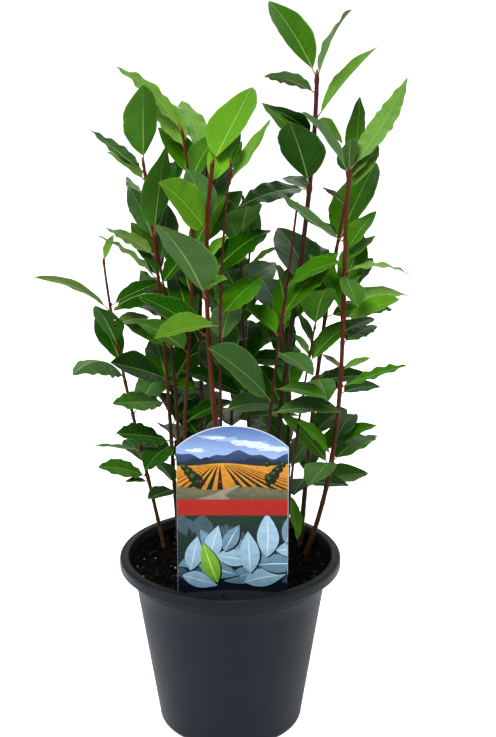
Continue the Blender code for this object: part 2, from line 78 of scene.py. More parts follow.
def mergeDoubles(mesh, distance, outward=False):
    shape = bmesh.new()
    shape.from_mesh(mesh)
    bmesh.ops.remove_doubles(shape, verts=shape.verts, dist=distance)
    if outward:
        bmesh.ops.recalc_face_normals(shape, faces=shape.faces)
    shape.to_mesh(mesh)
    shape.free()


def setValues(mesh, name, values, kind="FLOAT", field="value"):
    mesh.attributes.new(name, kind, "POINT").data.foreach_set(field, values)


def smoothMesh(mesh, angle):
    mesh.shade_smooth()
    mesh.set_sharp_from_angle(angle=math.radians(angle))


def bakeModifiers(item):
    # the evaluated shape becomes a plain mesh, and no modifier is left
    bpy.context.view_layer.update()
    graph = bpy.context.evaluated_depsgraph_get()
    mesh = bpy.data.meshes.new_from_object(item.evaluated_get(graph), preserve_all_data_layers=True,
                                           depsgraph=graph)
    item.modifiers.clear()
    item.data = mesh
    mesh.name = item.name
    return item


def addPiece(item, slot, *nodes):
    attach(item, body)
    if nodes:
        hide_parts(*nodes)


def table(keys, rows):
    # a dictionary for each row; a row may leave off its last values
    return {name: dict(zip(keys.split(), row)) for name, row in rows.items()}


def polar(angle, half=1.0):
    return half * math.cos(angle), half * math.sin(angle)


def arcPoints(centre, half, start, end, steps):
    turns = [polar(math.radians(start + (end - start) * step / steps), half) for step in range(steps + 1)]
    return [(centre[0] + across, centre[1] + up) for across, up in turns]


# Nodes

class Signal:
    # the output of a node; arithmetic with other signals or numbers adds Math nodes
    def __init__(self, socket):
        self.socket = socket

    def __add__(self, other):
        return maths("ADD", self, other)

    def __sub__(self, other):
        return maths("SUBTRACT", self, other)

    def __rsub__(self, other):
        return maths("SUBTRACT", other, self)

    def __mul__(self, other):
        return maths("MULTIPLY", self, other)


def treeOf(*values):
    return next(value.socket.id_data for value in values if isinstance(value, Signal))


def feed(node, inputs):
    # links for signals, plain values for the rest
    for key, value in inputs.items():
        if isinstance(value, Signal):
            node.id_data.links.new(value.socket, node.inputs[key])
        else:
            node.inputs[key].default_value = value


def wire(tree, kind, inputs=None, give=0, **settings):
    node = tree.nodes.new(kind)
    for key, value in settings.items():
        setattr(node, key, value)
    feed(node, inputs or {})
    return Signal(node.outputs[give])


def maths(operation, *values, clamp=False):
    return wire(treeOf(*values), "ShaderNodeMath", dict(enumerate(values)), operation=operation,
                use_clamp=clamp)


def blendColour(factor, first, second, mode="MIX"):
    return wire(treeOf(factor, first, second), "ShaderNodeMix", {0: factor, 6: first, 7: second}, 2,
                data_type="RGBA", blend_type=mode)


def toned(colour, tone):
    grey = wire(treeOf(tone), "ShaderNodeCombineColor", {"Red": tone, "Green": tone, "Blue": tone})
    return blendColour(1.0, colour, grey, "MULTIPLY")


def spread(value, low, high, toLow=0.0, toHigh=1.0):
    return wire(treeOf(value), "ShaderNodeMapRange", {"Value": value, "From Min": low, "From Max": high,
                                                      "To Min": toLow, "To Max": toHigh})


def noiseFactor(vector, scale, detail=3.0, roughness=0.55):
    return wire(treeOf(vector), "ShaderNodeTexNoise", {"Vector": vector, "Scale": scale, "Detail": detail,
                                                       "Roughness": roughness}, "Fac")


def objectPlace(tree, stretch=(1, 1, 1)):
    place = wire(tree, "ShaderNodeTexCoord", give="Object")
    return wire(tree, "ShaderNodeMapping", {"Vector": place, "Scale": stretch})


def axisOf(vector, axis):
    return wire(treeOf(vector), "ShaderNodeSeparateXYZ", {"Vector": vector}, axis)


def attribute(tree, name):
    return wire(tree, "ShaderNodeAttribute", give="Fac", attribute_name=name)


def bumped(height, strength, distance):
    return wire(treeOf(height), "ShaderNodeBump", {"Height": height, "Strength": strength,
                                                   "Distance": distance})


def newMaterial(name, inputs):
    material = bpy.data.materials.new(name)
    material.use_nodes = True
    shader = material.node_tree.nodes["Principled BSDF"]
    feed(shader, inputs)
    return material, material.node_tree, shader


socketKinds = {tuple: "NodeSocketColor", float: "NodeSocketFloat", int: "NodeSocketInt"}


def newGroup(name, kind, inputs, outputs, build):
    # an input names its default value, or its kind of socket where it has no default
    tree = bpy.data.node_groups.new(name, kind)
    for label, value in inputs.items():
        plain = isinstance(value, str)
        made = tree.interface.new_socket(name=label, in_out="INPUT",
                                         socket_type=value if plain else socketKinds[type(value)])
        if not plain:
            made.default_value = value
    for label, socket in outputs.items():
        tree.interface.new_socket(name=label, in_out="OUTPUT", socket_type=socket)
    given = {socket.name: Signal(socket) for socket in tree.nodes.new("NodeGroupInput").outputs}
    feed(tree.nodes.new("NodeGroupOutput"), dict(zip(outputs, build(tree, given))))
    return tree


def surfaceGroup(name, build, inputs):
    outputs = {"Colour": "NodeSocketColor", "Roughness": "NodeSocketFloat", "Relief": "NodeSocketFloat"}
    return newGroup(name, "ShaderNodeTree", inputs, outputs, build)


def geometryGroup(name, build, inputs):
    # every tree ends in plain geometry with one material
    def finished(tree, given):
        plain = wire(tree, "GeometryNodeRealizeInstances", {"Geometry": build(tree, given)})
        return [wire(tree, "GeometryNodeSetMaterial", {"Geometry": plain, "Material": given["Finish"]})]

    return newGroup(name, "GeometryNodeTree", {**inputs, "Finish": "NodeSocketMaterial"},
                    {"Shape": "NodeSocketGeometry"}, finished)


def groupFinish(name, group, shine, bump, values):
    # a material whose colour, roughness and relief come from one shared effect
    material, tree, shader = newMaterial(name, {"Specular IOR Level": shine})
    outputs = wire(tree, "ShaderNodeGroup", values, node_tree=group).socket.node.outputs
    feed(shader, {"Base Color": Signal(outputs["Colour"]), "Roughness": Signal(outputs["Roughness"]),
                  "Normal": bumped(Signal(outputs["Relief"]), *bump)})
    return material


# Shared surface effects: each gives a colour, a roughness and a relief

def paintLeaf(tree, given):
    # the blade's UV map is the leaf laid flat: along it, and across it from 0 to 1 at its widest
    flat = wire(tree, "ShaderNodeUVMap", uv_map="leafFlat")
    along, across = axisOf(flat, "X"), axisOf(flat, "Y")
    aside = maths("ABSOLUTE", across - 0.5)
    place = objectPlace(tree)
    wander, cloud, grain = (noiseFactor(place, *size) for size in ((80.0, 3.0), (70.0, 4.0), (520.0, 2.0)))
    # side veins leave the rib and run forward to the edge
    lane = along * 10.0 + aside * -5.5 + wander * 2.2 + maths("SIGN", across - 0.5) * 0.23
    near = maths("ABSOLUTE", maths("FRACT", lane) - 0.5)
    sideVein = spread(near, 0.0, 0.11, 1.0, 0.0)
    swell = (0.5 - near) * 2.0
    ribHalf = given["Rib width"] * spread(along, 0.0, 1.0, 1.0, 0.25)
    rib = maths("SUBTRACT", 1.0, maths("DIVIDE", aside, ribHalf), clamp=True)
    rib = maths("SMOOTH_MIN", rib * 2.2, 1.0, 0.2)
    net = wire(tree, "ShaderNodeTexVoronoi", {"Vector": place, "Scale": 900.0}, "Distance",
               feature="DISTANCE_TO_EDGE")
    net = spread(net, 0.0, 0.12, 1.0, 0.0)
    # young green near the stalk, and darker flesh between the veins
    tone = attribute(tree, "shade") + (cloud - 0.5) * given["Mottle"] + (0.45 - along) * 0.22
    tone = tone - swell * (given["Vein amount"] * 0.22) + (grain - 0.5) * 0.40
    veins = maths("ADD", sideVein * given["Vein amount"], net * (given["Vein amount"] * 0.12), clamp=True)
    colour = blendColour(veins, toned(given["Blade"], tone), given["Vein"])
    # a few yellowed patches, and a thin pale margin that comes and goes
    patch = spread(noiseFactor(place, 30.0, 3.0, 0.7), 0.66, 0.74, 0.0, 0.55)
    colour = blendColour(patch, colour, given["Patch"])
    margin = spread(attribute(tree, "brink"), 0.90, 1.0) * (spread(wander, 0.35, 0.60) * given["Margin"])
    for share in (margin, rib):
        colour = blendColour(share, colour, given["Rib"])
    rough = maths("ADD", given["Gloss"] + (cloud - 0.45) * 0.30, rib * 0.1, clamp=True)
    return colour, rough, swell * 0.35 - sideVein * 0.25 + net * -0.06 + cloud * 1.6


def paintBark(tree, given):
    # long fine furrows, pale pores and a change of colour from the ground up
    height = axisOf(objectPlace(tree), "Z")
    patch = noiseFactor(objectPlace(tree, (1, 1, 0.35)), 160.0)
    furrow = noiseFactor(objectPlace(tree, (1, 1, 0.12)), 1500.0)
    climb = spread(height, given["Low height"], given["High height"])
    climb = maths("ADD", climb, (patch - 0.5) * 0.9, clamp=True)
    base = blendColour(climb, given["Low colour"], given["High colour"])
    base = blendColour(spread(furrow, 0.35, 0.7, 0.35, 0.0), base, given["Furrow colour"])
    pore = wire(tree, "ShaderNodeTexVoronoi", {"Vector": objectPlace(tree, (1, 1, 0.5)), "Scale": 520.0},
                "Distance")
    pores = spread(pore, 0.10, 0.2, 1.0, 0.0) * given["Pores"]
    rough = maths("ADD", given["Dull"], (patch - 0.5) * 0.3, clamp=True)
    return blendColour(pores, base, given["Pore colour"]), rough, furrow * 0.8 + pores


def paintPlastic(tree, given):
    # fine moulding grain, upright rubs, and a second colour in clouds and on upward faces: settled dust on
    # the body, painted shade on the lip, where that colour is near black
    place = objectPlace(tree)
    cloud, grain = noiseFactor(place, 28.0, 5.0, 0.6), noiseFactor(place, 2600.0, 2.0)
    rub = noiseFactor(objectPlace(tree, (1, 1, 0.10)), 420.0, 2.0)
    upward = axisOf(wire(tree, "ShaderNodeNewGeometry", give="Normal"), "Z")
    # upward faces take the second colour: dust where it is pale, painted shade where it is near black, as on
    # the lip
    dustAndTopShade = spread(cloud, 0.52, 0.75, 0.0, 0.6) + spread(upward, 0.55, 1.0, 0.0, 0.6)
    dustAndTopShade = maths("MULTIPLY", dustAndTopShade, given["Dust amount"], clamp=True)
    rubs = maths("MULTIPLY", spread(rub, 0.62, 0.72), given["Rubs"], clamp=True)
    colour = given["Plain"]
    for share in (rubs, dustAndTopShade):
        colour = blendColour(share, colour, given["Dust"])
    rough = maths("ADD", given["Gloss"] + dustAndTopShade * 0.35, (cloud - 0.5) * 0.14, clamp=True)
    return colour, rough, grain + rub * 0.4


def paintEarth(tree, given):
    place = objectPlace(tree)
    clod, fine = noiseFactor(place, 210.0, 6.0, 0.7), noiseFactor(place, 1800.0)
    light = spread(clod, 0.45, 0.72) * given["Light amount"]
    colour = blendColour(light, given["Dark"], given["Light"])
    return colour, spread(fine, 0.2, 0.8, 0.8, 1.0), clod + fine * 0.35


def paintInk(tree, given):
    # ink on coated card: a soft change up the picture, cloudy mottle and a fine dot grain
    place = objectPlace(tree)
    climb = spread(axisOf(place, "Z"), given["Low height"], given["High height"])
    cloud = noiseFactor(objectPlace(tree, (1, 1, 1.6)), given["Mottle size"])
    dots = noiseFactor(place, 3800.0, 0.0)
    tone = (cloud - 0.5) * given["Mottle"] + 1.0 + (dots - 0.5) * 0.10
    ink = blendColour(climb, given["Low ink"], given["High ink"])
    return toned(ink, tone), spread(cloud, 0.2, 0.8, 0.22, 0.34), dots


black = (0.0, 0.0, 0.0, 1)
leafVeins = surfaceGroup("leafVeins", paintLeaf, {
    "Blade": black, "Vein": black, "Rib": black, "Patch": (0.16, 0.14, 0.012, 1), "Vein amount": 0.25,
    "Rib width": 0.024, "Margin": 0.6, "Mottle": 0.2, "Gloss": 0.4})
barkSkin = surfaceGroup("barkSkin", paintBark, {
    "Low colour": black, "High colour": black, "Furrow colour": (0.012, 0.006, 0.004, 1),
    "Pore colour": (0.38, 0.26, 0.17, 1), "Low height": 0.15, "High height": 0.4, "Pores": 0.5, "Dull": 0.46})
handledPlastic = surfaceGroup("handledPlastic", paintPlastic, {
    "Plain": black, "Dust": black, "Dust amount": 0.3, "Rubs": 0.3, "Gloss": 0.4})
earthGrain = surfaceGroup("earthGrain", paintEarth, {"Dark": black, "Light": black, "Light amount": 0.4})
printedInk = surfaceGroup("printedInk", paintInk, {
    "Low ink": black, "High ink": black, "Low height": 0.1, "High height": 0.2, "Mottle": 0.15,
    "Mottle size": 220.0})


# A tapering tube along any number of lines; the points carry its half thickness

def drawTubes(tree, given):
    half = wire(tree, "GeometryNodeInputNamedAttribute", {"Name": "half"}, "Attribute", data_type="FLOAT")
    line = wire(tree, "GeometryNodeMeshToCurve", {"Mesh": given["Lines"]})
    line = wire(tree, "GeometryNodeSetCurveNormal", {"Curve": line}, mode="MINIMUM_TWIST")
    ring = wire(tree, "GeometryNodeCurvePrimitiveCircle", {"Resolution": given["Sides"], "Radius": 1.0})
    tube = wire(tree, "GeometryNodeCurveToMesh", {"Curve": line, "Profile Curve": ring, "Scale": half,
                                                  "Fill Caps": True})
    place = wire(tree, "GeometryNodeInputPosition")
    slow = wire(tree, "ShaderNodeVectorMath", {0: place, 1: (1.0, 1.0, 0.3)}, operation="MULTIPLY")
    rough = wire(tree, "ShaderNodeTexNoise", {"Vector": slow, "W": given["Seed"], "Detail": 2.0,
                                              "Scale": given["Relief size"]}, "Fac", noise_dimensions="4D")
    facing = wire(tree, "GeometryNodeInputNormal")
    shift = wire(tree, "ShaderNodeVectorMath", {0: facing, "Scale": (rough - 0.5) * given["Relief"]},
                 operation="SCALE")
    moved = wire(tree, "GeometryNodeSetPosition", {"Geometry": tube, "Offset": shift})
    return wire(tree, "GeometryNodeSetShadeSmooth", {"Geometry": moved})


def growTree(item, tree, values):
    modifier = item.modifiers.new(tree.name, "NODES")
    modifier.node_group = tree
    for socket in tree.interface.items_tree:
        if socket.item_type == "SOCKET" and socket.in_out == "INPUT" and socket.name in values:
            modifier[socket.identifier] = values[socket.name]
    return bakeModifiers(item)


def linesObject(name, lines):
    # lines of (point, half thickness, share along), each its own run of edges
    rows = [row for line in lines for row in line]
    starts = np.cumsum([0] + [len(line) for line in lines])
    edges = [(int(start) + index, int(start) + index + 1) for start, line in zip(starts, lines)
             for index in range(len(line) - 1)]
    mesh = meshFrom(name, [point for point, _, _ in rows], edges=edges)
    setValues(mesh, "half", [half for _, half, _ in rows])
    setValues(mesh, "along", [share for _, _, share in rows])
    return newObject(name, mesh)


taperedTubes = geometryGroup("taperedTubes", drawTubes, {
    "Lines": "NodeSocketGeometry", "Sides": 12, "Relief": 0.0, "Relief size": 500.0, "Seed": 0.0})
print("shared surfaces and trees are ready")


# Canes, mm: the same foot, tip, sideways bend, thickness and foliage rule as the solids, and a bark each

caneSizes = dict(soil=130.0, gap=0.3, flare=1.25, relief=0.34, sides=14, step=4.0, node=0.35, scar=0.22,
                 nodeHigh=1.6, flareHigh=3.2, shootSteps=8, finer=2.2, nodeSpan=(0.6, 1.2),
                 scarSpan=(0.5, 1.3), reliefSize=420.0)
canes = table("foot tip bend thick leafy fill count turn arc bark skip girth", {
    "far_left": ((-53, 34), (-94, 30, 364), (0, -7), (4.0, 1.9), 182, 300, 1, 60, (40, 100), "russet", (),
                 (0.78, 0.95)),
    "left": ((-41, 36), (-62, 10, 444), (1, 7), (4.0, 2.0), 176, 430, 7, 20, (30, 110), "russet", (),
             (0.82, 1.0)),
    "left_back": ((-35, 19), (-56, 35, 381), (1, 10), (3.2, 1.5), 205, 330, 5, 95, (50, 110), "maroon"),
    "left_inner": ((-32, 6), (-34, 20, 464), (-13, 19), (3.6, 1.8), 215, 440, 8, 130, (50, 120), "russet",
                   (), (0.9, 1.05)),
    "back_left": ((-22, 45), (-16, 30, 436), (0, -9), (3.6, 1.7), 190, 430, 11, 10, (30, 170), "maroon"),
    "front": ((-1, -30), (-11, -30, 450), (-1, -17), (4.8, 2.4), 262, 420, 4, 200, (50, 130), "crimson", (),
              (0.86, 1.2)),
    "front_inner": ((-6, -16), (2, -40, 452), (0, -12), (3.4, 1.6), 240, 380, 5, 0, (30, 100), "maroon",
                    (4,), (0.85, 0.95)),
    "back": ((3, 55), (18, 65, 378), (-13, -9), (3.0, 1.2), 185, 372, 13, 80, (10, 180), "maroon", (10,)),
    "centre": ((15, 10), (10, 20, 413), (8, -8), (3.6, 1.6), 205, 380, 8, 45, (60, 140), "dusk"),
    "centre_right": ((26, -12), (49, -5, 415), (-12, -3), (3.4, 1.7), 240, 365, 5, -60, (-60, 40), "maroon",
                     (2,), (0.85, 0.95)),
    "tall": ((33, 19), (62, -5, 508), (-13, 9), (4.4, 2.0), 235, 440, 6, 160, (60, 120), "plum",
             (0, 3, 4, 5), (1.0, 1.45)),
    "back_right": ((45, 40), (38, 20, 324), (1, 9), (3.4, 1.5), 172, 318, 6, 70, (50, 150), "dusk"),
    "slim": ((42, 0), (67, 5, 343), (-6, -4), (2.6, 1.3), 215, 337, 4, -20, (-60, 20), "maroon"),
    "right_inner": ((55, 35), (90, 15, 438), (-5, -9), (4.6, 2.0), 176, 380, 8, 120, (50, 110), "russet",
                    (4,), (0.9, 1.0)),
    "right": ((59, 20), (85, -20, 443), (26, 3), (4.2, 2.5), 200, 350, 4, 90, (70, 110), "crimson", (),
              (0.92, 1.05)),
})
barks = table("low high rise pores", {
    "crimson": ((0.058, 0.024, 0.006, 1), (0.102, 0.012, 0.002, 1), (0.15, 0.30), 0.22),
    "russet": ((0.050, 0.029, 0.009, 1), (0.092, 0.014, 0.006, 1), (0.14, 0.34), 0.22),
    "maroon": ((0.034, 0.020, 0.008, 1), (0.072, 0.006, 0.007, 1), (0.18, 0.36), 0.18),
    "plum": ((0.017, 0.013, 0.006, 1), (0.095, 0.009, 0.014, 1), (0.32, 0.53), 0.15),
    "dusk": ((0.026, 0.022, 0.008, 1), (0.060, 0.005, 0.008, 1), (0.22, 0.44), 0.18),
})


def shareAt(cane, height):
    foot = (caneSizes["soil"] + caneSizes["gap"]) * mm
    return (height * mm - foot) / (cane["tip"][2] * mm - foot)


def canePoint(cane, share):
    foot = Vector((*cane["foot"], caneSizes["soil"])) * mm + Vector((0, 0, caneSizes["gap"] * mm))
    low = 3 * share * (1 - share) ** 2
    high = 3 * share * share * (1 - share)
    sideways = (cane["bend"][0] * low + cane["bend"][1] * high) * mm
    return foot.lerp(Vector(cane["tip"]) * mm, share) + Vector((sideways, 0, 0))


def caneHalf(cane, share):
    return (cane["thick"][0] + (cane["thick"][1] - cane["thick"][0]) * share) / 2 * mm


def plainShoot(cane):
    # the solid's own shoot, which the rule keeps the other leaves away from
    curve = bpy.data.curves.new("plainShoot", "CURVE")
    curve.dimensions = "3D"
    curve.bevel_depth = 1.0
    curve.bevel_resolution = 1
    curve.use_fill_caps = True
    steps = caneSizes["shootSteps"]
    split = shareAt(cane, cane["leafy"])
    spline = curve.splines.new("POLY")
    spline.points.add(steps)
    for step, knot in enumerate(spline.points):
        share = split + (1 - split) * step / steps
        knot.co = (*canePoint(cane, share), 1)
        knot.radius = caneHalf(cane, share)
    item = newObject("plainShoot", curve)
    bpy.context.view_layer.update()
    mesh = bpy.data.meshes.new_from_object(item.evaluated_get(bpy.context.evaluated_depsgraph_get()))
    deletePieces(item)
    mergeDoubles(mesh, 0.01 * mm)
    return mesh


# Leaves set one by one: height on the cane, heading, rise, roll, length, breadth, droop, tone and form,
# where the form is any but plain

setLeaves = {
    "far_left": (
        (363, 75, 35, -5, 28, 0.24, 10, "spring", "folded"),
        (324, -145, 30, -30, 76, 0.16, 40, "olive", "flat"), (314, 40, 0, 25, 34, 0.42, 15, "olive"),
        (297, -120, 55, 5, 48, 0.50, 20, "dark", "bitten"),
        (268, -125, 20, -20, 72, 0.34, 90, "misty", "arched"), (212, -155, 15, -15, 42, 0.14, 10, "misty"),
        (200, 115, 10, 5, 42, 0.46, 20, "dark"), (190, -155, 20, -30, 44, 0.40, 20, "mid", "wavy"),
        (186, -135, 15, -20, 26, 0.28, 20, "dark"),
    ),
    "left": (
        (441, -85, 75, 30, 62, 0.48, 20, "fresh", "flat"),
        (434, -150, 40, 25, 56, 0.28, 5, "bluish", "wavy"),
        (386, -70, 65, 30, 82, 0.36, 15, "fresh", "flat"),
        (371, 150, 20, -10, 48, 0.34, 20, "olive", "wavy"), (355, -130, 45, 25, 24, 0.34, 15, "dark"),
        (351, -150, 40, 20, 66, 0.15, 30, "olive", "wavy"), (273, -135, 25, -40, 62, 0.46, 10, "deep"),
        (254, -135, 13, -25, 58, 0.36, 5, "mid", "wavy"), (221, -140, 20, -25, 56, 0.44, 15, "dark", "wavy"),
        (212, 135, -10, -20, 38, 0.40, 20, "dark"), (184, -125, 50, 10, 36, 0.44, 20, "slate"),
        (180, -125, 5, -15, 34, 0.46, 10, "dark"),
    ),
    "left_back": (
        (381, 65, 40, -25, 86, 0.30, 20, "dark", "folded"),
        (377, 115, 35, 30, 70, 0.38, 20, "misty", "crimped"),
        (337, -135, -4, -10, 50, 0.38, 55, "dark", "arched"),
    ),
    "left_inner": (
        (461, 155, 40, -15, 72, 0.22, 35, "spring", "wavy"), (322, -150, 35, 30, 46, 0.36, 20, "mid"),
        (297, -140, 35, 30, 64, 0.42, 25, "fresh"),
    ),
    "back_left": (
        (434, 110, 35, 25, 72, 0.38, 20, "pale", "wavy"), (416, 85, 25, -15, 56, 0.52, 15, "bluish"),
        (330, 125, 15, -10, 52, 0.46, 25, "bluish"), (257, -155, 20, -35, 34, 0.34, 15, "fresh", "flat"),
    ),
    "front": (
        (448, 65, 35, -15, 80, 0.48, 5, "lime", "flat"), (400, -140, 45, -65, 60, 0.54, 20, "lime", "flat"),
        (379, 60, 25, -10, 32, 0.36, 15, "lime"), (358, -40, 25, 30, 28, 0.34, 20, "lime", "folded"),
        (350, -125, 50, 0, 88, 0.50, 25, "bluish", "flat"),
    ),
    "front_inner": (
        (444, 65, 45, -15, 28, 0.28, 10, "dark"), (438, 50, 40, -5, 60, 0.22, -10, "spring"),
        (332, -145, 0, -20, 56, 0.38, 20, "sour", "folded"),
    ),
    "back": ((350, -35, 30, 40, 34, 0.24, 15, "spring"),),
    "centre": (
        (387, -83, 35, 15, 55, 0.54, 25, "mid", "flat"), (345, 60, 10, 10, 52, 0.44, 25, "bluish"),
    ),
    "centre_right": (
        (344, -105, 50, -80, 44, 0.34, 15, "misty"), (316, 125, 15, -5, 50, 0.34, 25, "fresh", "folded"),
        (305, -60, -5, 0, 50, 0.42, 15, "bluish"), (276, -40, 5, 10, 50, 0.34, 25, "mid"),
        (266, -145, 42, -50, 82, 0.44, 20, "bluish", "flat"),
    ),
    "tall": (
        (505, 125, 40, -5, 76, 0.36, 20, "mid", "flat"),
        (503, 55, 45, -30, 66, 0.20, 45, "misty", "twisted"),
        (494, -150, 20, 30, 46, 0.34, 30, "misty", "wavy"), (477, 50, -35, 65, 40, 0.34, 15, "spring"),
        (475, 45, 35, -10, 80, 0.18, 15, "spring", "folded"), (464, -133, 28, 15, 58, 0.28, 20, "dark"),
        (427, -115, 55, 5, 64, 0.54, 15, "dark", "flat"), (425, -145, -5, -20, 62, 0.36, 30, "deep", "wavy"),
    ),
    "back_right": (
        (321, 110, 15, 0, 64, 0.50, 25, "dark", "flat"), (318, -45, 35, 55, 48, 0.40, 25, "fresh"),
        (209, -130, 50, -65, 46, 0.44, 20, "mid"), (178, -80, -35, -40, 46, 0.34, 15, "mid"),
    ),
    "slim": (
        (340, 115, 30, 0, 82, 0.44, 20, "slate", "flat"), (307, 105, 25, 25, 38, 0.28, 15, "dark"),
        (297, -140, 55, 15, 26, 0.30, 15, "misty"),
    ),
    "right_inner": (
        (435, 80, 50, -40, 64, 0.30, -40, "mid"), (432, 60, 40, -25, 58, 0.34, 20, "mid", "wavy"),
        (410, -140, 35, 20, 28, 0.26, 10, "misty"), (386, -140, 30, 25, 28, 0.34, 15, "bluish"),
        (376, 60, 40, -20, 84, 0.50, 15, "fresh", "flat"), (347, 110, 20, 5, 68, 0.44, 25, "slate", "wavy"),
        (336, 45, 20, 0, 54, 0.42, 20, "bluish"), (294, -50, -15, 0, 24, 0.30, 10, "misty"),
        (290, -130, 35, 35, 16, 0.50, 10, "lime"), (274, -70, -10, 5, 44, 0.44, 20, "mid"),
        (270, 35, -5, 20, 52, 0.36, 15, "dark"), (223, 55, 10, 10, 54, 0.42, 25, "dark"),
        (190, -115, -5, 5, 32, 0.56, 20, "deep"), (184, 25, 0, 15, 56, 0.42, 10, "mid"),
    ),
    "right": (
        (443, 50, 40, -15, 90, 0.33, -25, "pale", "crimped"), (440, -150, 50, -45, 62, 0.26, 20, "misty"),
        (439, 85, 35, -45, 36, 0.58, 20, "bluish", "flat"), (435, 50, 30, -10, 38, 0.30, 10, "spring"),
        (389, -155, 38, 20, 68, 0.24, -15, "misty"), (373, 50, 20, 0, 40, 0.34, 10, "fresh"),
        (379, 55, 30, -10, 50, 0.42, 20, "fresh"), (366, 30, -10, 10, 62, 0.18, 50, "pale", "wavy"),
        (364, -80, -15, -15, 46, 0.40, 15, "mid"), (345, 55, 30, -5, 46, 0.42, 20, "slate"),
        (341, 25, 0, 15, 56, 0.34, 30, "pale"), (330, -35, 25, 35, 52, 0.38, 5, "lime", "flat"),
        (319, 45, 5, 10, 36, 0.38, 15, "slate"), (310, 50, 5, 10, 44, 0.42, 20, "mid", "wavy"),
        (288, 25, 15, 10, 26, 0.32, 15, "spring"), (274, -25, 25, 20, 58, 0.26, 10, "fresh", "wavy"),
        (269, 40, -5, 15, 44, 0.42, 20, "dark"), (216, -140, 45, -50, 52, 0.30, 20, "fresh"),
        (212, -115, -5, 5, 46, 0.52, 20, "bluish"), (211, 50, 5, 0, 60, 0.48, 30, "mid", "wavy"),
    ),
}
# More leaves that thicken the crown within its reach, set once the others are there
fillLeaves = {
    "left_back": (
        (359, 84, 44, 0, 56, 0.38, 20, "bluish", "wavy"), (351, 132, 50, -15, 52, 0.38, 20, "mid"),
        (296, 156, 20, -20, 44, 0.40, 20, "fresh"),
    ),
    "centre": ((261, 172, 22, -20, 56, 0.38, 20, "dark"),),
    "right": (
        (347, 68, 44, 10, 56, 0.38, 20, "mid", "wavy"), (207, 164, 44, -20, 56, 0.38, 20, "mid"),
        (425, 60, 38, 10, 54, 0.38, 20, "spring"),
    ),
    "left": (
        (218, -108, 0, -5, 56, 0.38, 20, "dark", "wavy"), (383, 120, 38, -10, 54, 0.38, 20, "bluish"),
        (428, -180, 38, -20, 36, 0.42, 20, "spring"),
    ),
    "left_inner": ((449, 120, 38, -10, 54, 0.38, 20, "spring", "wavy"),),
    "right_inner": (
        (211, 4, 22, 20, 58, 0.38, 20, "fresh"), (323, 20, 0, 20, 56, 0.38, 20, "fresh", "wavy"),
        (185, -22, 5, 17, 36, 0.42, 20, "slate"),
    ),
    "back": (
        (276, -12, 0, 20, 56, 0.38, 20, "dark"), (227, 12, 0, 20, 56, 0.38, 20, "bluish"),
    ),
    "far_left": (
        (329, 12, 22, 20, 44, 0.40, 20, "dark"), (281, 120, 38, -10, 54, 0.38, 20, "dark"),
    ),
    "back_left": ((217, 150, 38, -17, 54, 0.38, 20, "dark"),),
    "tall": (
        (424, 120, 5, -10, 36, 0.42, 20, "slate"), (451, 150, 38, -17, 54, 0.38, 20, "mid"),
    ),
    "front": ((433, 60, 38, 10, 54, 0.38, 20, "lime"),),
}
# What the rule draws for the other leaves, mm and degrees, and how clear they stay of their neighbours
leafRule = dict(turn=137.5, longest=64.0, shorter=46.0, droop=28.0, start=8.0, shift=6.0, swing=13.0,
                rise=47.0, facing=25.0, nearHeight=9.0, nearTurn=50.0, clear=0.9, thick=1.2, fold=0.16,
                stalk=0.11, stalkHalf=0.55, outline=((0.30, 0.80), (0.55, 1.0), (0.82, 0.60)),
                lengths=(0.82, 1.08), breadths=(0.34, 0.46), droops=(0.5, 1.5),
                highTones=("mid", "fresh", "dark", "bluish"),
                lowTones=("mid", "dark", "dark", "bluish", "slate"), forms=("plain", "plain", "wavy"),
                twistPlace=0.35)


def leafPlanes(root, leaf, share, twist=0.0, sway=0.0):
    # points along the drooping rib, with the blade's sideways and upward directions there
    heading, rise, roll, length, _, droop = leaf
    heading, rise, roll, droop = (math.radians(value) for value in (heading, rise, roll, droop))
    start = rise + droop / 2
    angle = start - droop * share
    out = (math.sin(start) - np.sin(angle)) / droop
    up = (np.cos(angle) - math.cos(start)) / droop
    flat = np.array((*polar(heading), 0.0))
    across = np.array((math.sin(heading), -math.cos(heading), 0.0))
    upright = np.array((0.0, 0.0, 1.0))
    centre = np.array(root) + (out[:, None] * flat + up[:, None] * upright) * length * mm
    along = np.cos(angle)[:, None] * flat + np.sin(angle)[:, None] * upright
    over = np.cos(angle)[:, None] * upright - np.sin(angle)[:, None] * flat
    turn = roll + math.radians(twist) * (share - leafRule["twistPlace"])
    side = across * np.cos(turn)[:, None] - over * np.sin(turn)[:, None]
    bow = sway * length * mm * np.sin(math.pi * share) * share
    return centre + side * bow[:, None], side, np.cross(side, along)


def plainLeaf(root, leaf, grow=0.0, bladeOnly=False):
    # the solid's own leaf: diamond sections along the rib, and a point
    half = leaf[4] * leaf[3] * mm / 2
    stalk = leafRule["stalkHalf"] * mm
    stations = [(0.0, stalk, stalk, 0), (leafRule["stalk"], stalk, stalk, 0)]
    stations += [(share, half * width, leafRule["thick"] * mm / 2, leafRule["fold"])
                 for share, width in leafRule["outline"]]
    share, wide, thick, fold = np.array(stations[int(bladeOnly):] + [(1.0, 0, 0, 0)]).T[:, :, None]
    centre, side, over = leafPlanes(root, leaf, share[:, 0])
    lift = over * wide * fold
    corners = np.stack([centre + side * (wide + grow) + lift, centre + over * (thick + grow),
                        centre - side * (wide + grow) + lift, centre - over * (thick + grow)], axis=1)
    points = corners[:-1].reshape(-1, 3).tolist() + [centre[-1].tolist()]
    last = len(points) - 5
    faces = [(3, 2, 1, 0)]
    for base in range(0, last, 4):
        faces += [(base + corner, base + (corner + 1) % 4, base + 4 + (corner + 1) % 4, base + 4 + corner)
                  for corner in range(4)]
    faces += [(last + corner, last + (corner + 1) % 4, last + 4) for corner in range(4)]
    return points, faces


# Room in the crown: what is there already, and a place for each leaf that keeps clear of it

space = []


def boxOf(points):
    return ([min(point[axis] for point in points) for axis in range(3)],
            [max(point[axis] for point in points) for axis in range(3)])


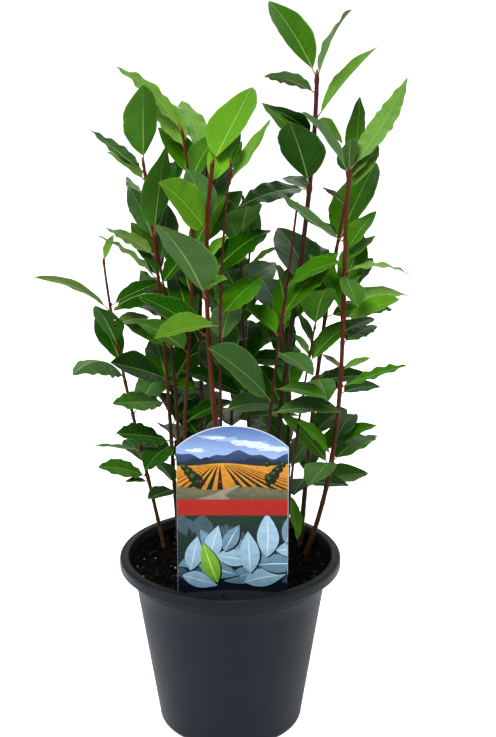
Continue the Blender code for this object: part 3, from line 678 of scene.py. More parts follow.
def takeSpace(owner, points, faces, blade=None):
    own = BVHTree.FromPolygons(*blade) if blade else None
    space.append((owner, *boxOf(points), BVHTree.FromPolygons(points, faces), own))


def takeMesh(owner, mesh):
    takeSpace(owner, [vertex.co.copy() for vertex in mesh.vertices],
              [tuple(face.vertices) for face in mesh.polygons])


def isFree(owner, full, blade):
    low, high = boxOf(full[0])
    whole, part = BVHTree.FromPolygons(*full), BVHTree.FromPolygons(*blade)
    for other, floor, top, tree, own in space:
        if any(low[axis] > top[axis] or high[axis] < floor[axis] for axis in range(3)):
            continue
        if (own and part.overlap(own)) if other == owner else whole.overlap(tree):
            return False
    return True


def placeLeaf(name, height, leaf, tries):
    heading, rise, roll, length, breadth, droop = leaf
    root = canePoint(canes[name], shareAt(canes[name], height))
    clear = leafRule["clear"] * mm
    for turn, lift, scale in tries:
        trial = (heading + turn, rise + lift, roll, length * scale, breadth, droop)
        if isFree(name, plainLeaf(root, trial, clear), plainLeaf(root, trial, clear / 2, True)):
            takeSpace(name, *plainLeaf(root, trial), blade=plainLeaf(root, trial, bladeOnly=True))
            return root, trial
    return None


setTries = [(0, 0, 1.0)] + [(turn, lift, scale) for scale in (1.0, 0.9) for turn, lift in (
    (6, 0), (-6, 0), (0, 6), (0, -6), (12, 4), (-12, 4), (12, -6), (-12, -6), (20, 8), (-20, 8), (30, 0),
    (-30, 0))]
ruleTries = [(turn, lift, scale) for scale in (1.0, 0.85) for lift in (0, 12, -12)
             for turn in (0, 18, -18, 36, -36)]


def growSetLeaves(order):
    for name, (height, heading, rise, roll, length, breadth, droop, tone, *form) in order:
        found = placeLeaf(name, height, (heading, rise, roll, length, breadth, droop), setTries)
        if found:
            grown[name].append((height, *found, tone, *(form or ["plain"])))


def growRuleLeaves(name, draw, dress):
    cane, rule = canes[name], leafRule
    first, last = cane["leafy"] + rule["start"], cane["fill"]
    low, high = cane["arc"]

    def swing():
        return draw.uniform(-rule["swing"], rule["swing"])

    for index in range(cane["count"]):
        share = (index + 0.5) / cane["count"]
        height = first + (last - first) * share + draw.uniform(-rule["shift"], rule["shift"])
        turned = (cane["turn"] + index * rule["turn"]) % 360 / 360
        heading = low + (high - low) * turned + swing()
        rise = rule["rise"] * share + swing()
        roll = rule["facing"] * math.cos(math.radians(heading)) + swing()
        length = (rule["longest"] - rule["shorter"] * (share - 0.5) ** 2) * draw.uniform(*rule["lengths"])
        leaf = (heading, rise, roll, length, draw.uniform(*rule["breadths"]),
                rule["droop"] * draw.uniform(*rule["droops"]))
        crowded = any(abs(height - other[0]) < rule["nearHeight"]
                      and abs(math.remainder(heading - other[2][0], 360)) < rule["nearTurn"]
                      for other in grown[name])
        if crowded or index in cane.get("skip", ()):
            continue
        found = placeLeaf(name, height, leaf, ruleTries)
        if found:
            tone = dress.choice(rule["highTones"] if share > 0.5 else rule["lowTones"])
            grown[name].append((height, *found, tone, dress.choice(rule["forms"])))


for node in ("pot", "compost", "label"):
    takeMesh("base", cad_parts[node].data)
for name, cane in canes.items():
    takeMesh("base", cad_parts["stem_" + name].data)
    takeMesh(name, plainShoot(cane))
grown = {name: [] for name in canes}
# the largest leaves are set first
growSetLeaves(sorted(((name, leaf) for name in canes for leaf in setLeaves[name]),
                     key=lambda entry: -entry[1][4] * entry[1][4] * entry[1][5]))
for index, name in enumerate(canes):
    growRuleLeaves(name, random.Random(100 + index), random.Random(500 + index))
growSetLeaves((name, leaf) for name, leaves in fillLeaves.items() for leaf in leaves)
print("leaves placed:", sum(len(leaves) for leaves in grown.values()))


# Leaf finishes: the upper colour, its gloss and shine, the side veins, the mottle and how pale the back is

leafTones = table("upper gloss shine veins mottle back", {
    "lime": ((0.100, 0.285, 0.008), 0.46, 0.05, 0.25, 0.35, 0.25),
    "fresh": ((0.036, 0.158, 0.000), 0.42, 0.03, 0.32, 0.60, 0.16),
    "sour": ((0.078, 0.190, 0.010), 0.46, 0.06, 0.35, 0.60, 0.25),
    "spring": ((0.115, 0.265, 0.026), 0.46, 0.06, 0.32, 0.50, 0.25),
    "pale": ((0.108, 0.248, 0.030), 0.46, 0.06, 0.45, 0.55, 0.30),
    "olive": ((0.090, 0.170, 0.024), 0.46, 0.08, 0.30, 0.55, 0.30),
    "mid": ((0.034, 0.126, 0.003), 0.42, 0.05, 0.30, 0.70, 0.20),
    "dark": ((0.008, 0.062, 0.000), 0.36, 0.02, 0.24, 0.80, 0.10),
    "deep": ((0.005, 0.030, 0.002), 0.32, 0.05, 0.26, 0.70, 0.08),
    # the bluish and misty colours hold their leaves' grey-blue sheen: part leaf colour, part painted sheen
    "bluish": ((0.036, 0.108, 0.018), 0.42, 0.07, 0.32, 0.70, 0.20),
    "misty": ((0.064, 0.140, 0.040), 0.46, 0.09, 0.36, 0.60, 0.30),
    "slate": ((0.014, 0.056, 0.008), 0.40, 0.07, 0.26, 0.70, 0.10),
})
# How each kind of leaf lies, as shares of its size; the twist is in degrees
leafForms = table("wave waves fold cup twist sway crimp nick", {
    "plain": (0.008, 2.6, 0.24, 0.06, 12, 0.030, 0.014, 0.027),
    "flat": (0.005, 2.4, 0.17, 0.08, 6, 0.018, 0.010, 0.021),
    "wavy": (0.013, 4.4, 0.20, -0.04, 12, 0.030, 0.021, 0.038),
    "crimped": (0.006, 7.0, 0.16, -0.05, 8, 0.014, 0.027, 0.048),
    "folded": (0.006, 3.0, 0.55, 0.10, 8, 0.020, 0.016, 0.030),
    "arched": (0.010, 5.0, -0.35, -0.15, 6, 0.020, 0.020, 0.032),
    "twisted": (0.008, 3.0, 0.30, 0.10, 80, 0.045, 0.018, 0.030),
    "bitten": (0.006, 2.8, 0.20, 0.05, 8, 0.020, 0.013, 0.032),
})
leafShape = dict(rows=42, columns=12, thick=0.42, edge=0.5, stalkHalf=0.60, ribHalf=0.36, tipHalf=0.12,
                 ribShow=0.05, ribSteps=22, ribEnd=0.965, stalkSides=8,
                 holes=((15, 3), (16, 3), (21, 8), (22, 2)), narrowest=0.30, sharp=62, base=(0.72, 0.90),
                 point=(0.88, 1.08), waveCount=(0.85, 1.15), waveSize=(0.8, 1.2), twist=(0.6, 1.3),
                 shade=(0.82, 1.18), warm=(0.6, 1.0), redTones=("lime", "fresh", "spring", "mid"),
                 duller=0.55, backGloss=0.16, backVeins=0.1)
leafColours = dict(back=(0.150, 0.260, 0.095), vein=(0.26, 0.44, 0.10), rib=(0.34, 0.52, 0.12),
                   veinShare=0.30, ribShare=0.44, bump=(0.55, 0.0010), stalkBump=(0.25, 0.0003),
                   palerGreen=(0.30, 0.46, 0.13, 1), green=(0.20, 0.34, 0.08, 1),
                   olive=(0.20, 0.21, 0.06, 1), red=(0.26, 0.035, 0.022, 1))


def mixed(first, second, share):
    return tuple((1 - share) * one + share * other for one, other in zip(first, second))


def leafFinish(name, tone):
    # one finish above and a paler, duller one below
    upper = tone["upper"]
    vein, rib = (mixed(upper, leafColours[part], leafColours[part + "Share"]) for part in ("vein", "rib"))
    return [groupFinish(f"{name}Leaf{side}", leafVeins, tone["shine"], leafColours["bump"], {
        "Blade": (*colour, 1), "Vein": (*vein, 1), "Rib": (*rib, 1), "Vein amount": tone["veins"] + moreVeins,
        "Mottle": tone["mottle"], "Gloss": tone["gloss"] + moreGloss})
        for side, colour, moreGloss, moreVeins in (
            ("Upper", upper, 0.0, 0.0), ("Under", mixed(upper, leafColours["back"], tone["back"]),
                                                         leafShape["backGloss"], leafShape["backVeins"]))]


def stalkFinish():
    # red at the cane, pale green along the rib
    material, tree, shader = newMaterial("leafStalk", {"Roughness": 0.42})
    grain = noiseFactor(objectPlace(tree), 700.0, 2.0)
    reach = attribute(tree, "along") + (grain - 0.5) * 0.10
    green = blendColour(spread(grain, 0.3, 0.7), leafColours["palerGreen"], leafColours["green"])
    red = blendColour(attribute(tree, "warm"), leafColours["olive"], leafColours["red"])
    feed(shader, {"Base Color": blendColour(spread(reach, 0.10, 0.24), red, green),
                  "Normal": bumped(grain, *leafColours["stalkBump"])})
    return material


def halfBlade(step, aside, outline, look, length, widest, draw):
    # how wide and how high one half of the blade lies: waves, a crimped edge and small nicks
    phase, second = draw.uniform(0, anyTurn), draw.uniform(0, anyTurn)
    count = look["waves"] * draw.uniform(*leafShape["waveCount"])
    ripple = np.sin(fullTurn * count * step + phase) + 0.3 * np.sin(fullTurn * count * 1.6 * step + second)
    crimp = 1 + look["crimp"] * np.sin(fullTurn * count * 1.4 * step + second)
    nicks = np.array([draw.uniform(-1, 1) for _ in range(len(step) + 2)])
    crimp = crimp + look["nick"] * (nicks[:-2] + 2 * nicks[1:-1] + nicks[2:]) / 2.4
    wide = np.maximum(outline * crimp * widest, leafShape["narrowest"] * mm * (1.2 - step))[:, None] * aside
    wave = look["wave"] * length * draw.uniform(*leafShape["waveSize"]) * (ripple * bladeEnds(step))[:, None]
    lift = look["fold"] * wide + look["cup"] * widest * aside ** 2 * outline[:, None] + wave * aside ** 1.6
    return wide, lift


def bladeEnds(step):
    return np.minimum(1, np.minimum(step, 1 - step) * 9 + 0.12)


def bladeMesh(root, leaf, form, draw):
    # a thin closed blade: two skins that meet in a narrow edge
    rows, columns = leafShape["rows"], leafShape["columns"]
    look = leafForms[form]
    length = leaf[3] * mm
    widest = leaf[4] * length / 2
    step = np.linspace(0, 1, rows + 1)
    base, point = draw.uniform(*leafShape["base"]), draw.uniform(*leafShape["point"])
    peak = base / (base + point)
    outline = (step ** base) * ((1 - step) ** point) / (peak ** base * (1 - peak) ** point)
    way = draw.choice((-1, 1))
    centre, side, over = leafPlanes(root, leaf, leafRule["stalk"] + (1 - leafRule["stalk"]) * step,
                                    look["twist"] * way * draw.uniform(*leafShape["twist"]),
                                    look["sway"] * draw.uniform(-1, 1))
    across = np.linspace(-1, 1, columns + 1)
    width, lift = np.zeros((2, rows + 1, columns + 1))
    for half in (-1, 1):
        part = np.where(np.sign(across) == half)[0]
        aside = np.abs(across[part])[None, :]
        wide, lift[:, part] = halfBlade(step, aside, outline, look, length, widest, draw)
        width[:, part] = wide * half
    middle = centre[:, None, :] + side[:, None, :] * width[:, :, None] + over[:, None, :] * lift[:, :, None]
    facing = np.cross(np.gradient(middle, axis=1), np.gradient(middle, axis=0))
    facing /= np.maximum(np.linalg.norm(facing, axis=2, keepdims=True), 1e-12)
    thick = leafShape["thick"] * mm / 2 * (1 - (1 - leafShape["edge"]) * np.abs(across) ** 3)[None, :, None]
    thick = thick * (0.45 + 0.55 * bladeEnds(step))[:, None, None]
    points = np.concatenate([middle + facing * thick, middle - facing * thick]).reshape(-1, 3)
    flatMap = np.stack(np.broadcast_arrays(step[:, None], 0.5 + width / (2 * widest)), axis=2).reshape(-1, 2)
    brink = np.broadcast_to(np.abs(across)[None, :], width.shape).ravel()
    return points, *bladeFaces(rows, columns, form), np.tile(flatMap, (2, 1)), np.tile(brink, 2)


def bladeFaces(rows, columns, form):
    # faces of both skins, holes and rim, and which finish each has: 0 above, 1 below
    size = (rows + 1) * (columns + 1)
    holes = leafShape["holes"] if form == "bitten" else ()

    def at(row, column):
        return row * (columns + 1) + column

    def rim(corners):
        return [(first, second, second + size, first + size) for first, second in zip(corners, corners[1:])]

    faces, kinds = [], []
    for row in range(rows):
        for column in range(columns):
            corners = [at(row, column), at(row, column + 1), at(row + 1, column + 1), at(row + 1, column)]
            if (row, column) in holes:
                faces += rim(corners + corners[:1])
                kinds += [0] * 4
            else:
                faces += [tuple(corners), tuple(corner + size for corner in reversed(corners))]
                kinds += [0, 1]
    border = [at(0, column) for column in range(columns)] + [at(row, columns) for row in range(rows)]
    border += [at(rows, column) for column in range(columns, 0, -1)]
    border += [at(row, 0) for row in range(rows, 0, -1)]
    edge = [(second, first, first + size, second + size)
            for first, second in zip(border, border[1:] + border[:1])]
    return faces + edge, kinds + [0] * len(edge)


def ribLine(root, leaf):
    # the stalk and the rib under the blade, just showing above it
    share = np.linspace(0, leafShape["ribEnd"], leafShape["ribSteps"] + 1)
    centre, _, over = leafPlanes(root, leaf, share)
    stalk, rib = leafRule["stalk"], leafShape["ribHalf"]
    halves = np.interp(share, (0, stalk, 0.3, 1.0),
                       (leafShape["stalkHalf"], rib + 0.05, rib, leafShape["tipHalf"]))
    sunk = halves - leafShape["thick"] / 2 - leafShape["ribShow"]
    drop = np.interp(share, (0, stalk, 0.2), (0, 0, 1)) * sunk
    return list(zip(centre - over * (drop * mm)[:, None], halves * mm, share))


def makeLeaves(name, draw):
    # all blades of one mass are one piece, and their stalks another
    blades, faces, kinds, shades, lines, warms = [], [], [], [], [], []
    slots = {}
    for _, root, leaf, tone, form in grown[name]:
        bladeDraw = random.Random(draw.random())
        points, madeFaces, madeKinds, flatMap, brink = bladeMesh(root, leaf, form, bladeDraw)
        start, first = len(shades), slots.setdefault(tone, 2 * len(slots))
        blades.append((points, flatMap, brink))
        shades += [draw.uniform(*leafShape["shade"])] * len(points)
        faces += [tuple(corner + start for corner in face) for face in madeFaces]
        kinds += [first + kind for kind in madeKinds]
        lines.append(ribLine(root, leaf))
        warm = 1.0 if tone in leafShape["redTones"] else leafShape["duller"]
        warms += [warm * draw.uniform(*leafShape["warm"])] * len(lines[-1])
    points, flatMap, brink = (np.concatenate(parts) for parts in zip(*blades))
    mesh = meshFrom("leaves_" + name, points, faces)
    for tone in slots:
        for material in leafFinishes[tone]:
            mesh.materials.append(material)
    mesh.polygons.foreach_set("material_index", kinds)
    setValues(mesh, "shade", shades)
    setValues(mesh, "brink", brink)
    corners = np.zeros(len(mesh.loops), dtype=np.int32)
    mesh.loops.foreach_get("vertex_index", corners)
    mesh.uv_layers.new(name="leafFlat").data.foreach_set("uv", flatMap[corners].ravel())
    smoothMesh(mesh, leafShape["sharp"])
    leaves, stalks = newObject("leaves_" + name, mesh), linesObject("stalks_" + name, lines)
    setValues(stalks.data, "warm", warms)
    growTree(stalks, taperedTubes, {"Sides": leafShape["stalkSides"], "Finish": leafStalk})
    for item in (leaves, stalks):
        addPiece(item, "foliage", "foliage_" + name)


leafFinishes = {name: leafFinish(name, tone) for name, tone in leafTones.items()}
leafStalk = stalkFinish()
for index, name in enumerate(canes):
    makeLeaves(name, random.Random(900 + index))
print("leaves are made")


# Canes: one bare piece from the compost up, the leafy shoot above it, and buds at leaves and old scars

budSizes = dict(profile=((0, 0), (0.42, 0.1), (0.62, 0.7), (0.52, 1.4), (0.25, 2.1), (0, 2.6)), turns=8,
                tip=(1.3, 1.9), leaf=(0.75, 1.15), scar=(0.35, 0.6), firstScar=(9, 16), scarGap=(11, 19),
                rise=1.2, sunk=0.75, lean=0.5, belowTip=0.97, highest=0.995, tipSunk=0.6)


def turnedMesh(name, profile, turns):
    # a profile of (radius, height) that starts and ends on the axis, turned into a closed skin
    inner = profile[1:-1]
    count = len(inner)
    points = [(0, 0, profile[0][1] * mm), (0, 0, profile[-1][1] * mm)]
    faces = []
    for turn in range(turns):
        angle = fullTurn * turn / turns
        points += [(*polar(angle, across * mm), height * mm) for across, height in inner]
        here, after = 2 + turn * count, 2 + (turn + 1) % turns * count
        faces += [(0, here, after)]
        faces += [(here + row, here + row + 1, after + row + 1, after + row) for row in range(count - 1)]
        faces += [(1, after + count - 1, here + count - 1)]
    mesh = meshFrom(name, points, faces)
    mergeDoubles(mesh, 0.001 * mm, outward=True)
    return mesh


def caneLine(cane, first, last, nodes):
    # points up the cane, a little thicker at each leaf and old leaf scar
    span = (canePoint(cane, last) - canePoint(cane, first)).length
    count = max(6, int(span / (caneSizes["step"] * mm) * caneSizes["finer"]))
    low, high = cane.get("girth", (1.0, 1.0))
    line = []
    for index in range(count + 1):
        share = first + (last - first) * index / count
        point = canePoint(cane, share)
        swell = sum(size * math.exp(-((point.z / mm - height) / caneSizes["nodeHigh"]) ** 2)
                    for height, size in nodes)
        rise = (point.z / mm - caneSizes["soil"]) / caneSizes["flareHigh"]
        flare = (caneSizes["flare"] - 1) * math.exp(-rise * rise)
        half = caneHalf(cane, share) * (low + (high - low) * share) * (1 + flare) + swell * mm
        line.append((point, half, share))
    return line


def drawBuds(tree, given):
    # one bud at each point, leaning its own way and of its own size
    way, size = (wire(tree, "GeometryNodeInputNamedAttribute", {"Name": name}, "Attribute", data_type=kind)
                 for name, kind in (("way", "FLOAT_VECTOR"), ("size", "FLOAT")))
    return wire(tree, "GeometryNodeInstanceOnPoints", {
        "Points": wire(tree, "GeometryNodeMeshToPoints", {"Mesh": given["Points"]}),
        "Instance": wire(tree, "GeometryNodeObjectInfo", {"Object": given["Bud"]}, "Geometry"),
        "Rotation": wire(tree, "FunctionNodeAlignRotationToVector", {"Vector": way}, axis="Z"),
        "Scale": size})


barkFinishes = {name: groupFinish(name + "Bark", barkSkin, 0.14, (0.5, 0.0004), {
    "Low colour": bark["low"], "High colour": bark["high"], "Low height": bark["rise"][0],
    "High height": bark["rise"][1], "Pores": bark["pores"]}) for name, bark in barks.items()}
budSpots = []
for index, (name, cane) in enumerate(canes.items()):
    draw = random.Random(40 + index)
    split = shareAt(cane, cane["leafy"])
    nodes = [(leaf[0], caneSizes["node"] * draw.uniform(*caneSizes["nodeSpan"])) for leaf in grown[name]]
    height = caneSizes["soil"] + draw.uniform(*budSizes["firstScar"])
    scars = []
    while height < cane["leafy"]:
        nodes.append((height, caneSizes["scar"] * draw.uniform(*caneSizes["scarSpan"])))
        scars.append((height, draw.uniform(0, 360)))
        height += draw.uniform(*budSizes["scarGap"])
    tip = canePoint(cane, 1.0)
    budSpots.append((tip - Vector((0, 0, budSizes["tipSunk"] * mm)),
                     (tip - canePoint(cane, budSizes["belowTip"])).normalized(),
                     draw.uniform(*budSizes["tip"])))
    buds = [(leaf[0], leaf[2][0], draw.uniform(*budSizes["leaf"])) for leaf in grown[name]]
    for height, heading, size in buds + [(*scar, draw.uniform(*budSizes["scar"])) for scar in scars]:
        share = min(shareAt(cane, height + budSizes["rise"]), budSizes["highest"])
        flat = Vector((*polar(math.radians(heading)), 0))
        budSpots.append((canePoint(cane, share) + flat * caneHalf(cane, share) * budSizes["sunk"],
                         (flat * budSizes["lean"] + Vector((0, 0, 1))).normalized(), size))
    bare = linesObject("cane_" + name, [caneLine(cane, 0.0, split, nodes)])
    shoot = linesObject("shoot_" + name, [caneLine(cane, split, 1.0, nodes)])
    for item, slot, node in ((bare, "stem", "stem_" + name), (shoot, "foliage", "foliage_" + name)):
        growTree(item, taperedTubes, {
            "Sides": caneSizes["sides"], "Relief": caneSizes["relief"] * mm, "Seed": 0.5 * index,
            "Relief size": caneSizes["reliefSize"], "Finish": barkFinishes[cane["bark"]]})
        addPiece(item, slot, node)
budScale, tree, shader = newMaterial("budScale", {"Roughness": 0.45, "Specular IOR Level": 0.2})
blush = spread(noiseFactor(objectPlace(tree), 420.0, 2.0), 0.38, 0.62)
feed(shader, {"Base Color": blendColour(blush, (0.085, 0.110, 0.018, 1), (0.13, 0.022, 0.014, 1))})
budMesh = meshFrom("leafBuds", [spot for spot, _, _ in budSpots])
setValues(budMesh, "way", [value for _, way, _ in budSpots for value in way], "FLOAT_VECTOR", "vector")
setValues(budMesh, "size", [size for _, _, size in budSpots])
oneBud = newObject("oneBud", turnedMesh("oneBud", budSizes["profile"], budSizes["turns"]))
oneBud.data.shade_smooth()
axilBuds = geometryGroup("axilBuds", drawBuds, {"Points": "NodeSocketGeometry", "Bud": "NodeSocketObject"})
leafBuds = growTree(newObject("leafBuds", budMesh), axilBuds, {"Bud": oneBud, "Finish": budScale})
deletePieces(oneBud)
addPiece(leafBuds, "foliage")
print("canes are made")


# Pot, mm: the solid's profile with finer rounds

potSizes = dict(height=141.0, rim=85.0, rimDepth=8.8, lip=7.0, rimRound=3.0, collar=74.8, collarFoot=121.6,
                bodyTop=73.2, foot=55.8, footRound=8.0, wall=1.5, floor=2.2, drains=6, drainHalf=5.0,
                drainRing=38.0, drainSides=32, turns=168, sharp=35, small=1.2, fillet=0.9, inner=1.5,
                floorLevel=4.0, base=((44.0, 0.0), (43.5, 0.5), (30.0, 0.5), (29.5, 0.0), (0.0, 0.0)))
# the lip is a lighter copy of the plastic, painted sheen, with painted shade on its upward faces; the wall
# inside and the inner part of the lip, wider at the back, are near black: painted shade in the pot's hollow,
# partly a film of soil and compost stain
potFinishes = {
    "slatePlastic": (0.16, (0.10, 0.0002), (0.0066, 0.0104, 0.0162), (0.028, 0.035, 0.044), 0.16, 0.08, 0.44),
    # the lip: a lighter copy of the body's plastic, painted sheen on its outer face, and a near-black second
    # colour that paints shade on its upward faces
    "lipPlastic": (0.09, (0.45, 0.0006), (0.0100, 0.0136, 0.0172), (0.0022, 0.0023, 0.0019), 1.2, 0.12, 0.20),
    # the wall inside and the inner lip: near black, painted shade in the pot's hollow, partly compost stain
    "stainedPlastic": (0.10, (0.50, 0.0005), (0.0020, 0.0020, 0.0020), (0.010, 0.008, 0.006), 0.80, 0.30,
                       0.36),
}
# how far out the near-black band of painted shade and stain reaches, from the front to the back, and how it
# wanders
shadeAndStain = dict(front=-70, back=-20, narrower=0.8, widest=4.0, wander=1.1, patches=90)


def potProfile():
    size = potSizes
    top, rim, collar, collarFoot = size["height"], size["rim"], size["collar"], size["collarFoot"]
    rimFoot, lipInner = top - size["rimDepth"], rim - size["lip"]
    inside = size["footRound"] - size["wall"]
    small, fillet, inner, roundHalf = size["small"], size["fillet"], size["inner"], size["rimRound"]

    def bodyHalf(height):
        share = (height - size["footRound"]) / (collarFoot - size["footRound"])
        return size["foot"] + (size["bodyTop"] - size["foot"]) * share

    profile = [(0.0, size["floor"])]
    profile += arcPoints((size["foot"] - size["footRound"], size["floor"] + inside), inside, -90, 0, 10)
    profile += [(size["bodyTop"] - size["wall"] - 0.8, collarFoot - 4), (collar - size["wall"], rimFoot - 1),
                (lipInner - 0.6, top - 2 * inner)]
    profile += arcPoints((lipInner + 1.2, top - inner), inner, 150, 90, 6)
    profile += arcPoints((rim - roundHalf, top - roundHalf), roundHalf, 90, 0, 12)
    profile += arcPoints((rim - small, rimFoot + small), small, 0, -90, 6)
    profile += [(rim - 4.0, rimFoot + 0.4), (collar + fillet, rimFoot + 0.25)]
    profile += arcPoints((collar + fillet, rimFoot - 0.65), fillet, 90, 180, 4)[1:]
    profile += [(collar, collarFoot + 1.2), (collar - 0.4, collarFoot + 0.5),
                (bodyHalf(collarFoot) + 0.25, collarFoot), (bodyHalf(collarFoot), collarFoot - 0.4)]
    profile += [(bodyHalf(height), height) for height in (110.0, 90.0, 70.0, 50.0, 30.0, 15.0)]
    profile += arcPoints((size["foot"] - size["footRound"], size["footRound"]), size["footRound"], 0, -90, 14)
    return profile + list(size["base"])


pot = newObject("plasticPot", turnedMesh("plasticPot", potProfile(), potSizes["turns"]))
drills = []
for index in range(potSizes["drains"]):
    place = polar(fullTurn * (index + 0.5) / potSizes["drains"], potSizes["drainRing"] * mm)
    shape = bmesh.new()
    drainHalf = potSizes["drainHalf"] * mm
    bmesh.ops.create_cone(shape, cap_ends=True, segments=potSizes["drainSides"], radius1=drainHalf,
                          radius2=drainHalf, depth=4 * potSizes["floor"] * mm)
    bmesh.ops.translate(shape, verts=shape.verts, vec=(*place, 0))
    drills.append(newObject(f"drill_{index}", meshOf("drill", shape)))
    hole = pot.modifiers.new("drain", "BOOLEAN")
    hole.operation = "DIFFERENCE"
    hole.object = drills[-1]
bakeModifiers(pot)
deletePieces(*drills)
for name, (shine, bump, plain, dustAndTopShade, amount, rubs, gloss) in potFinishes.items():
    pot.data.materials.append(groupFinish(name, handledPlastic, shine, bump, {
        "Plain": (*plain, 1), "Dust": (*dustAndTopShade, 1), "Dust amount": amount, "Rubs": rubs, "Gloss": gloss}))
# inward faces within that band get the near-black finish, painted shade with some stain; the other faces of
# the lip get the lip's finish with its painted sheen
for face in pot.data.polygons:
    away, level = face.center.xy.length / mm, face.center.z / mm
    film = np.interp(face.center.y / mm, (shadeAndStain["front"], shadeAndStain["back"]),
                     (potSizes["lip"] - shadeAndStain["narrower"], shadeAndStain["widest"]))
    film += noise.noise(face.center * shadeAndStain["patches"]) * shadeAndStain["wander"]
    inward = face.normal.xy.dot(face.center.xy) < 0
    if away < potSizes["rim"] - film and level > potSizes["floorLevel"] and inward:
        face.material_index = 2
    elif level > potSizes["height"] - potSizes["rimDepth"]:
        face.material_index = 1
smoothMesh(pot.data, potSizes["sharp"])
addPiece(pot, "pot", "pot")
print("pot is made")


# Compost: a filled plug with a crumbly top

earthSizes = dict(top=130.0, edge=75.2, ledge=68.0, ledgeRise=5.8, floor=2.5, foot=45.9, rounds=7.2,
                  rings=50, turns=160, rough=1.7, fine=0.6, heap=7.0, heapPlace=(0.058, 0.044),
                  heapSpread=0.00009,
                  skirt=((74.9, 135.4), (72.6, 131.0), (72.3, 129.6), (69.6, 117.0), (61.4, 62.0)),
                  grainReach=0.97, ringPower=0.9, lumps=48, grit=330, ledgeCalm=0.6, steepest=0.2)
# each earth's dark and light colours, how much of it is light, and its shine; all share one bump
earths = {
    "blackEarth": ((0.0008, 0.0006, 0.0004, 1), (0.0040, 0.0031, 0.0021, 1), 0.5, 0.02),
    "crumbEarth": ((0.0012, 0.0009, 0.0006, 1), (0.0075, 0.0056, 0.0038, 1), 0.5, 0.02),
    "wetEarth": ((0.0012, 0.0010, 0.0008, 1), (0.0050, 0.0041, 0.0031, 1), 0.4, 0.16),
    "chipBark": ((0.014, 0.011, 0.008, 1), (0.085, 0.074, 0.060, 1), 0.5, 0.05),
    "paleGrit": ((0.20, 0.18, 0.15, 1), (0.50, 0.47, 0.40, 1), 0.8, 0.05),
}
# each kind of grain: half size, stretch, how it is scattered, and its earth
grains = {
    "compostCrumbs": (0.9, (1, 1, 0.8), dict(Amount=80000.0, Smallest=0.35, Largest=1.3, Seed=3),
                      "crumbEarth"),
    "compostClods": (2.0, (1.2, 0.8, 0.5), dict(Amount=15000.0, Smallest=0.4, Largest=1.5, Seed=8),
                     "wetEarth"),
    "barkChips": (2.2, (1.6, 0.7, 0.22), dict(Amount=2600.0, Smallest=0.4, Largest=1.2, Seed=14, Lean=0.6),
                  "chipBark"),
    "paleSpecks": (0.9, (1, 0.8, 0.7), dict(Amount=3000.0, Smallest=0.35, Largest=1.3, Seed=21), "paleGrit"),
}
strandSizes = dict(count=90, reach=(3, 11), half=(0.10, 0.28), bow=0.6, steps=8, lift=0.8, within=0.98,
                   sides=5)


def earthHeight(x, y):
    size = earthSizes
    place = Vector((x, y, 0))
    lump = noise.fractal(place * size["lumps"], 1.0, 2.0, 4) * size["rough"]
    fine = noise.fractal(place * size["grit"], 0.9, 2.1, 4) * size["fine"]
    heapX, heapY = size["heapPlace"]
    heap = size["heap"] * math.exp(-((x - heapX) ** 2 + (y - heapY) ** 2) / size["heapSpread"])
    away = math.hypot(x, y) / (size["edge"] * mm)
    climb = max(0.0, away * size["edge"] - size["ledge"]) / (size["edge"] - size["ledge"])
    return size["top"] + (lump + heap) * (1 - size["ledgeCalm"] * climb) + fine + size["ledgeRise"] * climb


def earthMesh():
    # rings of points from the middle of the top, over the edge and in under the floor
    size = earthSizes
    around = size["turns"]
    angles = [fullTurn * turn / around for turn in range(around)]
    points = [(0, 0, earthHeight(0, 0) * mm)]
    for ring in range(1, size["rings"] + 1):
        half = size["edge"] * (ring / size["rings"]) ** size["ringPower"] * mm
        for angle in angles:
            x, y = polar(angle, half)
            points.append((x, y, earthHeight(x, y) * mm))
    footRound = arcPoints((size["foot"], size["floor"] + size["rounds"]), size["rounds"], 0, -90, 4)
    skirt = [*size["skirt"], *footRound]
    points += [(*polar(angle, half * mm), height * mm) for half, height in skirt for angle in angles]
    points.append((0, 0, size["floor"] * mm))
    faces = [(0, 1 + turn, 1 + (turn + 1) % around) for turn in range(around)]
    last = 1 + (size["rings"] + len(skirt) - 1) * around
    for here in range(1, last, around):
        below = here + around
        faces += [(here + turn, below + turn, below + (turn + 1) % around, here + (turn + 1) % around)
                  for turn in range(around)]
    faces += [(last + (turn + 1) % around, last + turn, len(points) - 1) for turn in range(around)]
    return meshFrom("compostBed", points, faces)


def drawGrains(tree, given):
    # seeded grains on a surface, turned every way and of every size between the two named
    lean, seed = given["Lean"], given["Seed"]
    swing = wire(tree, "ShaderNodeCombineXYZ", {"X": lean, "Y": lean, "Z": 3.14})
    back = wire(tree, "ShaderNodeVectorMath", {0: swing, "Scale": -1.0}, operation="SCALE")
    return wire(tree, "GeometryNodeInstanceOnPoints", {
        "Points": wire(tree, "GeometryNodeDistributePointsOnFaces", {
            "Mesh": given["Surface"], "Density": given["Amount"], "Seed": seed}),
        "Instance": wire(tree, "GeometryNodeObjectInfo", {"Object": given["Grain"]}, "Geometry"),
        "Rotation": wire(tree, "FunctionNodeRandomValue", {0: back, 1: swing, 8: seed},
                         data_type="FLOAT_VECTOR"),
        "Scale": wire(tree, "FunctionNodeRandomValue", {2: given["Smallest"], 3: given["Largest"], 8: seed},
                      1, data_type="FLOAT")})


